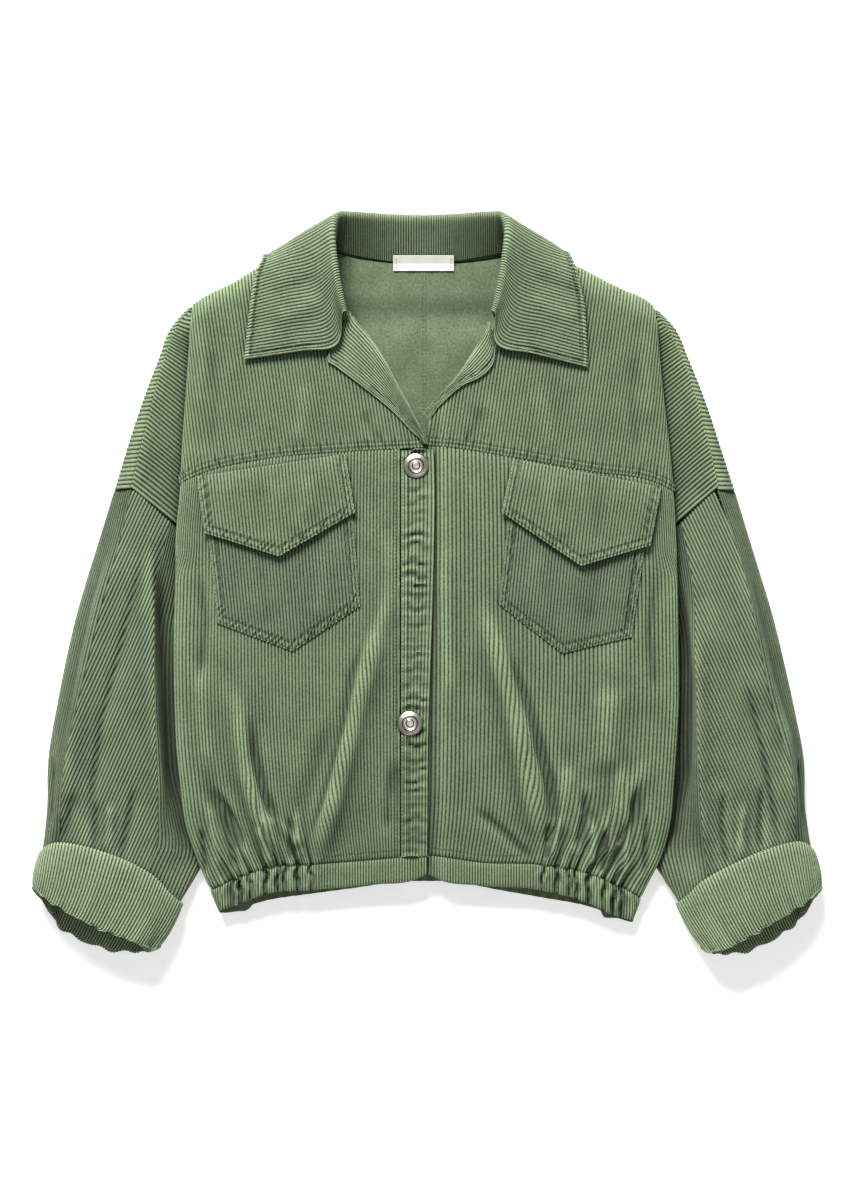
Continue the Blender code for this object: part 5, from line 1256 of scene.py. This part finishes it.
def hem_cloth(side):
    """Outer face of the hem band under a front, round to the side seam."""
    seam_cloth, seam_y = front_plan(side, [0.0], 0.0)
    start = {"r": 0.0, "l": 1.2}[side]
    edge = float(look_up(EDGE, side, -278.0))
    last = edge - 11
    end = float(edge_cloth(side, -283.0, HEM_RUN))
    cloth = (start + (end - start) * fine(end - start, 2.5))[None]
    v = np.linspace(0, 1, 15)[:, None]
    depth = look_up(HEM_DEPTH, side, np.minimum(cloth, edge - 2))
    depth = depth + (HEM_BAND - depth) * ease((cloth - edge - 3) / 16)
    depth = depth - 4.5 * ease((cloth - end + 16) / 14)
    first_y = hem_line(side, np.minimum(cloth, 30.0))
    y = np.where(cloth < FRONT_OPEN["r"], first_y, np.interp(cloth, seam_cloth[0], seam_y[0]))
    y = y - GAP - 0.4 * ease((cloth - last) / 10) - depth * (1 - v)
    wander = 2.0 * np.sin(7 * v + cloth * 0.11) * v
    raised = tucks(cloth + wander, last) * (0.8 + 0.3 * np.sin(math.pi * v))
    rolled = -1.1 * np.exp(-v * 22 / 1.6) - 1.1 * np.exp(-(1 - v) * 22 / 1.6)
    return raised_front(side, cloth, y, raised + rolled)


def hem_back_cloth():
    """Outer (lower) face of the hem band at the back."""
    across = (fine(HEM_BACK_WIDTH) * 2 - 1)[None]
    v = np.linspace(0, 1, 9)[:, None]
    side_y = (-293 + 22 * v) + 0 * across
    x = across * (np.where(across < 0, back_edge("r", side_y), back_edge("l", side_y)) + 1)
    seam = np.where(x < 0, back_hem("r", -x), back_hem("l", x))
    wave = 1 + np.sin(2 * math.pi * across * 166 / 12.0 + 0.8 * np.sin(across * 8))
    z = 0.7 * wave * ease((0.97 - np.abs(across)) / 0.09) + 0 * v
    return np.stack([x, seam - GAP - (HEM_BAND - GAP) * (1 - v), z], -1)


def placket_beat(out, y):
    """Puckers across the placket, unevenly spaced up it."""
    at = y + 1.8 * np.sin(out * 0.28 + y * 0.05) + waves(y, PLACKET_WANDER)
    beat = np.abs(np.sin(math.pi * at / PLACKET_PITCH)) ** 0.8 - 0.6
    return 1.6 * (0.8 + waves(y, PLACKET_SIZES)) * beat + 0.35 * np.sin(y * 0.93)


def placket_cloth():
    """Outer face of the placket, doubled over the front and puckered along its stitching."""
    v = np.linspace(0, 1, 150)[:, None]
    y = -242.6 * (1 - v) + 122.0 * v
    u = fine(PLACKET_WIDTH)[None]
    out = -look_up(PLACKET_EDGE, "x", y) * (1 - u) + PLACKET_SEAM * u
    lift = np.interp(u, [0, 0.04, 0.9, 0.97, 1], [-0.9, 0, 0, -0.2, -0.9])
    pucker = 1.6 * placket_beat(out, y) * (np.exp(-((out - 11.0) / 11.5) ** 4) + 0.1)
    for row in PLACKET_ROWS:
        pucker = pucker - 0.5 * bell(out - PLACKET_SEAM + row, 0.9)
    y = y + (yoke_line("r", out) - 123.6) * v
    return signed(np.stack([out, y, front_height("r", out, y) + 1.0 + lift + pucker], -1), "r")


def sewn(inset, rows, along, pucker=0.6):
    """Height near rows of stitches: sunk at each row, puckered between and beside them."""
    sunk = sum(0.8 * bell(inset - row, 0.9) for row in rows)
    beat = np.sin(2 * math.pi * along / 6.0 + 1.9 * np.sin(along * 0.13)) + 0.6 * np.sin(along * 1.51)
    return pucker * beat * bell(inset - (rows[0] + rows[-1]) / 2, 5.5) - sunk


def pointed_cloth(name, flap):
    """Outer face of a pocket or flap with a pointed lower edge, raised from the front under it."""
    side = name[-1]
    inner_top, outer_top, inner_low, outer_low, tip = np.array(POCKETS[name])
    share = (tip[0] - inner_low[0]) / (outer_low[0] - inner_low[0])
    u = fine(POCKET_WIDTH)[:, None]
    u[np.argmin(np.abs(u[:, 0] - share)), 0] = share
    low = np.where(u <= share, inner_low + (tip - inner_low) * u / share,
                   tip + (outer_low - tip) * (u - share) / (1 - share))
    v = shares((0.16, 17), (1.0, 27))[:, None, None]
    plan = low[None] * (1 - v) + (inner_top + (outer_top - inner_top) * u)[None] * v
    cloth, y = plan[..., 0], plan[..., 1]
    rise = POCKET_RISE
    if flap:
        rise = FLAP_RISE + (POCKET_RISE - FLAP_RISE) * ease((v[..., 0] - 0.72) / 0.28)
    down, rim = distances(plan, 0), insets(plan, "first left right")
    lift = rise - 1.0 * np.exp(-rim / 0.9) + sewn(rim, SEWN_ROWS, down + distances(plan, 1))
    lift = lift + 0.5 * np.sin(cloth * 0.09 + y * 0.05) * ease((rim - 8) / 10)
    if flap:
        lift = lift + FLAP_CURL * np.exp(-down / 16) * (0.45 + 0.55 * bell(u[None, :, 0] - share, 0.3))
    return raised_front(side, cloth, y, lift)


def edged(grid, sides, row=COLLAR_ROW, rise=1.2):
    """The grid with a puffed, puckered edge outside a row of stitches along its named sides."""
    inset = insets(grid, sides)
    along = distances(grid, 0) + distances(grid, 1)
    puff = rise * np.sin(math.pi * np.clip(inset / row, 0, 1)) * (1 + 0.35 * np.sin(along * 0.8))
    height = puff - 1.0 * np.exp(-inset / 0.8) + sewn(inset, (row,), along * 1.3, 0.25)
    up = normals(grid)
    return grid + up * (height * np.sign(up[..., 2].mean()))[..., None]


def collar_cloth():
    """Outer face of the collar: columns along its wales, from the stand over the roll to the edge."""
    grid = collar_grid()
    at = lengths(grid[-16])
    t = at[-1] * fine(float(at[-1]))
    grid = np.stack([resampled(row, at, t) for row in grid])
    down = distances(grid, 0)
    share = down / down[-1:]
    v = shares((0.9, 39), (1.0, 11))
    grid = np.stack([resampled(grid[:, k], share[:, k], v) for k in range(grid.shape[1])], 1)
    return grid + (edged(grid, "last left right") - grid) * ease((v - 0.4) / 0.2)[:, None, None]


def lapel_cloth(side):
    """Outer face of a lapel: round the roll, with its wales along it, and out to its free edge."""
    roll, edge = (np.column_stack(list(found.values())) for found in (ROLL[side], LAPEL_EDGE[side]))
    knots = np.arange(len(roll) * 1.0)
    t = np.linspace(0, knots[-1], 45)
    start, end = curve(knots, roll, t * {"r": 1, "l": 0.92}[side]), curve(knots, edge, t)
    ahead = unit(np.gradient(start, axis=0))
    away = unit(unit(end - start) + np.stack([ahead[:, 1], -ahead[:, 0]], -1))
    base = front_height(side, start[:, 0], start[:, 1])
    lines = [np.column_stack([start + away * across, base + rise])
             for across, rise in ((2.0, -2.4), (0.7, -2.0), (0.0, -0.3), (0.6, 1.7), (2.6, 2.8))]
    for share in (0.25, 0.5, 0.75, 1.0):
        plan = (start + away * 2.6) * (1 - share) + end * share
        lines.append(np.column_stack([plan, front_height(side, plan[:, 0], plan[:, 1]) + 2.8]))
    grid = signed(np.stack(lines, 1), side)
    across = distances(grid, 1)
    u = fine(float(across[:, -1].max()))
    grid = np.stack([resampled(row, at / at[-1], u) for at, row in zip(across, grid)])
    share = insets(grid, "left") / np.maximum(distances(grid, 1)[:, -1:], 1.0)
    grid = edged(grid, "right last", rise=0.8)
    grid[..., 2] -= 9.0 * np.exp(-insets(grid, "last") / 4.0) * np.clip(1 - 1.6 * share, 0, 1)
    return grid


# ---------------------------------------------------------------- operators

class JacketOperator:
    """What every step shares."""
    bl_options = {"REGISTER", "UNDO"}

    @property
    def wall(self):
        return bpy.context.scene.jacket_cloth.thickness / MM

    def dress(self, name, *shells):
        """A piece of shells: their grids, walls and how they are sewn and worn."""
        cloth = Cloth()
        for grid, wall, sewing in shells:
            cloth.shell(grid, wall, **sewing)
        place_piece(name, cloth)


class JACKET_OT_fronts(JacketOperator, bpy.types.Operator):
    """Lower fronts, gathered into the hem"""
    bl_idname = "jacket.fronts"
    bl_label = "Fronts"

    def execute(self, context):
        for side in SIGN:
            cloth = Cloth()
            grid = creased(front_cloth(side), "front_" + side)
            cloth.shell(grid, self.wall, turned=side == "r")
            cloth.sew(grid, side == "r", "first", FRONT_ROW, (2.0, 178.0))
            if side == "r":
                cloth.sew(grid, True, "left", BESIDE_ROW, (2.0, 2.0))
            place_piece("front_" + side, cloth)
        return {"FINISHED"}


class JACKET_OT_yokes(JacketOperator, bpy.types.Operator):
    """Yokes, and the drop shoulders beyond their folds"""
    bl_idname = "jacket.yokes"
    bl_label = "Yokes"

    def execute(self, context):
        for side in SIGN:
            name = "yoke_" + side
            sewing = dict(turned=side == "r", worn="first last", seams="first", rows=YOKE_ROWS)
            drop = dict(turned=side == "l", worn="last left", depth=WALE_DEPTHS["sleeve"])
            self.dress(name, (creased(yoke_cloth(side), name), self.wall, sewing),
                       (shoulder_cloth(side), self.wall, drop))
        return {"FINISHED"}


class JACKET_OT_backs(JacketOperator, bpy.types.Operator):
    """Back panels"""
    bl_idname = "jacket.backs"
    bl_label = "Back"

    def execute(self, context):
        for side in SIGN:
            cloth = Cloth()
            flat, roll = back_cloth(side)
            cloth.shell(flat, self.wall, turned=side == "l", depth=WALE_DEPTHS["back"])
            if side == "r":
                inside = flat - normals(flat) * self.wall
                for inset in NECK_ROWS:
                    cloth.sew(inside, True, "left", inset, (1.0, 1.0))
            cloth.shell(roll, self.wall, turned=side == "r", worn="last")
            place_piece("back_" + side, cloth)
        return {"FINISHED"}


class JACKET_OT_collar(JacketOperator, bpy.types.Operator):
    """Collar and lapels"""
    bl_idname = "jacket.collar"
    bl_label = "Collar"

    def execute(self, context):
        sewing = dict(worn="last left right", seams="last left right", rows=(COLLAR_ROW,))
        self.dress("collar", (creased(collar_cloth(), "collar"), WALLS["collar"], sewing))
        for side in SIGN:
            sewing = dict(turned=side == "r", worn="right", tone_and_shade=TONE_AND_SHADE["lapel"], seams="right last",
                          rows=(COLLAR_ROW,))
            self.dress("lapel_" + side, (lapel_cloth(side), WALLS["collar"], sewing))
        return {"FINISHED"}


class JACKET_OT_sleeves(JacketOperator, bpy.types.Operator):
    """Sleeves and their turned-up cuffs"""
    bl_idname = "jacket.sleeves"
    bl_label = "Sleeves"

    def execute(self, context):
        for side in SIGN:
            turned = side == "l"
            cloth = Cloth()
            # The tube behind the folds is painted shade, and the facet between them painted highlight.
            for part, grid in zip(("tube", "facet"), sleeve_cloth(side)):
                cloth.shell(grid, self.wall, turned=turned, depth=WALE_DEPTHS["sleeve"], tone_and_shade=TONE_AND_SHADE[part])
            place_piece("sleeve_" + side, cloth)
            sewing = dict(turned=turned, closed=True, worn="first", tone_and_shade=TONE_AND_SHADE["cuff"],
                          depth=WALE_DEPTHS["cuff"])
            self.dress("cuff_" + side, (cuff_cloth(side), WALLS["cuff"], sewing))
        return {"FINISHED"}


class JACKET_OT_trim(JacketOperator, bpy.types.Operator):
    """Hem bands, placket, pockets and flaps"""
    bl_idname = "jacket.trim"
    bl_label = "Hem, placket and pockets"

    def execute(self, context):
        for side in SIGN:
            sewing = dict(turned=side == "r", tone_and_shade=TONE_AND_SHADE["hem"])
            self.dress("hem_" + side, (hem_cloth(side), WALLS["hem"], sewing))
        sewing = dict(turned=True, depth=WALE_DEPTHS["back"])
        self.dress("hem_back", (hem_back_cloth(), self.wall, sewing))
        sewing = dict(turned=True, worn="left right", seams="right", rows=PLACKET_ROWS)
        self.dress("placket_r", (placket_cloth(), self.wall, sewing))
        for name in POCKETS:
            grid = creased(pointed_cloth(name, name.startswith("flap")), name)
            sewing = dict(turned=name.endswith("r"), worn="first left right last",
                          seams="first left right", rows=SEWN_ROWS)
            self.dress(name, (grid, WALLS["pocket"], sewing))
        return {"FINISHED"}


class JACKET_OT_snaps(JacketOperator, bpy.types.Operator):
    """Snap caps"""
    bl_idname = "jacket.snaps"
    bl_label = "Snaps"

    def execute(self, context):
        colour = context.scene.jacket_colours.metal
        metal = plain("snap metal", colour, 0.36, 1.0, grain=0.03)
        slope_shade = plain("snap patina", [c * 0.1 for c in colour], 0.4, 1.0, grain=0.2)
        for name, (x, y) in BUTTONS.items():
            obj = snap_cap(name + "_cap", x, y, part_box(name)[0].z / MM)
            obj.data.materials.append(metal)
            obj.data.materials.append(slope_shade)
            # Faces on the cap's steep slopes take the dark metal: painted shade.
            for face in obj.data.polygons:
                away = math.hypot(face.center.x - x * MM, face.center.y - y * MM) / MM
                face.material_index = int(any(low < away < high for low, high in SHADED_SLOPES))
            place(obj, name)
        return {"FINISHED"}


class JACKET_OT_label(JacketOperator, bpy.types.Operator):
    """The blank neck label"""
    bl_idname = "jacket.label"
    bl_label = "Neck label"

    def execute(self, context):
        x = np.linspace(*LABEL_ENDS, 60)[None]
        y = np.linspace(LABEL_LINE[0][0], LABEL_LINE[0][-1], 16)[:, None]
        z = np.interp(y, *LABEL_LINE) + 0.25 * np.sin(x * 0.35)
        grid = np.stack(np.broadcast_arrays(x, y, z), -1)
        cloth = Cloth()
        cloth.shell(grid, WALLS["label"], wales=False, seams="left right", rows=(LABEL_ROW,))
        cotton = plain("label cotton", context.scene.jacket_colours.label, 0.8, grain=0.05, scale=1500)
        obj = cloth.build("label_cloth", cotton, thread())
        place(obj, "label")
        return {"FINISHED"}


def snap_cap(name, x, y, base):
    """A domed cap with a raised ring, inset from a disc."""
    bpy.ops.object.select_all(action="DESELECT")
    profile = BUTTON[::-1]
    low = profile[0][1] * MM
    bpy.ops.mesh.primitive_cylinder_add(vertices=64, radius=profile[0][0] * MM, depth=low,
                                        location=(x * MM, y * MM, base * MM + low / 2))
    obj = bpy.context.active_object
    obj.name = obj.data.name = name
    bpy.ops.object.mode_set(mode="EDIT")
    bpy.ops.mesh.select_all(action="DESELECT")
    bpy.ops.object.mode_set(mode="OBJECT")
    for face in obj.data.polygons:
        face.select = face.normal.z > 0.9
    bpy.ops.object.mode_set(mode="EDIT")
    for (outer, before), (inner, after) in zip(profile, profile[1:]):
        bpy.ops.mesh.inset(thickness=(outer - max(inner, 0.6)) * MM, depth=(after - before) * MM)
    bpy.ops.object.mode_set(mode="OBJECT")
    bpy.ops.object.transform_apply(location=True, rotation=True, scale=True)
    soften = obj.modifiers.new("soften", "BEVEL")
    soften.width = 0.00025
    soften.segments = 2
    soften.limit_method = "ANGLE"
    soften.angle_limit = math.radians(18)
    bpy.ops.object.modifier_apply(modifier=soften.name)
    bpy.ops.object.shade_smooth()
    return obj


class JACKET_OT_stage(JacketOperator, bpy.types.Operator):
    """Floor, lamps and camera"""
    bl_idname = "jacket.stage"
    bl_label = "Stage"

    def execute(self, context):
        scene = context.scene
        studio = scene.jacket_studio
        bpy.ops.object.select_all(action="DESELECT")
        bpy.ops.mesh.primitive_grid_add(x_subdivisions=8, y_subdivisions=8, size=8.0, location=(0, 0, 0))
        floor = bpy.context.active_object
        floor.name = "studio_floor"
        floor.data.transform(floor.matrix_world)
        paper = plain("studio floor", studio.floor, 0.9)
        glow = paper.node_tree.nodes["Principled BSDF"]
        glow.inputs["Emission Color"].default_value = WHITE
        glow.inputs["Emission Strength"].default_value = FLOOR_GLOW
        floor.data.materials.append(paper)
        for name, spot, size, share in LAMPS:
            bpy.ops.object.light_add(type="AREA", location=spot)
            lamp = bpy.context.active_object
            lamp.name = name
            lamp.data.size = size
            lamp.data.energy = studio.lamp_power * share
            lamp.rotation_euler = (-mathutils.Vector(spot)).to_track_quat("-Z", "Y").to_euler()
        scene.world = bpy.data.worlds.new("studio")
        scene.world.use_nodes = True
        sky = scene.world.node_tree.nodes["Background"]
        sky.inputs["Color"].default_value = WHITE
        sky.inputs["Strength"].default_value = SKY_STRENGTH
        scene.view_settings.view_transform = "Standard"
        bpy.ops.object.camera_add(location=(*CAMERA_AT, studio.camera_height), rotation=(0, 0, 0))
        scene.camera = bpy.context.active_object
        scene.camera.name = "camera"
        scene.camera.data.lens = studio.lens
        scene.camera.data.sensor_width = 36.0
        return {"FINISHED"}


STEPS = (JACKET_OT_stage, JACKET_OT_fronts, JACKET_OT_yokes, JACKET_OT_backs, JACKET_OT_collar,
         JACKET_OT_sleeves, JACKET_OT_trim, JACKET_OT_snaps, JACKET_OT_label)
GROUPS = (JacketCloth, JacketColours, JacketStudio)


class JACKET_PT_panel(bpy.types.Panel):
    """Sizes, colours and steps of the jacket"""
    bl_idname = "JACKET_PT_panel"
    bl_label = "Corduroy jacket"
    bl_space_type = "VIEW_3D"
    bl_region_type = "UI"
    bl_category = "Jacket"

    def draw(self, context):
        scene = context.scene
        for group in (scene.jacket_cloth, scene.jacket_colours, scene.jacket_studio):
            box = self.layout.box()
            for key in group.__annotations__:
                box.prop(group, key)
        for step in STEPS:
            self.layout.operator(step.bl_idname)


def register():
    for cls in (*GROUPS, *STEPS, JACKET_PT_panel):
        bpy.utils.register_class(cls)
    bpy.types.Scene.jacket_cloth = bpy.props.PointerProperty(type=JacketCloth)
    bpy.types.Scene.jacket_colours = bpy.props.PointerProperty(type=JacketColours)
    bpy.types.Scene.jacket_studio = bpy.props.PointerProperty(type=JacketStudio)


def unregister():
    del bpy.types.Scene.jacket_cloth
    del bpy.types.Scene.jacket_colours
    del bpy.types.Scene.jacket_studio
    for cls in reversed((*GROUPS, *STEPS, JACKET_PT_panel)):
        bpy.utils.unregister_class(cls)


def main():
    register()
    for step in STEPS:
        group, name = step.bl_idname.split(".")
        getattr(getattr(bpy.ops, group), name)()


if __name__ == "__main__":
    main()
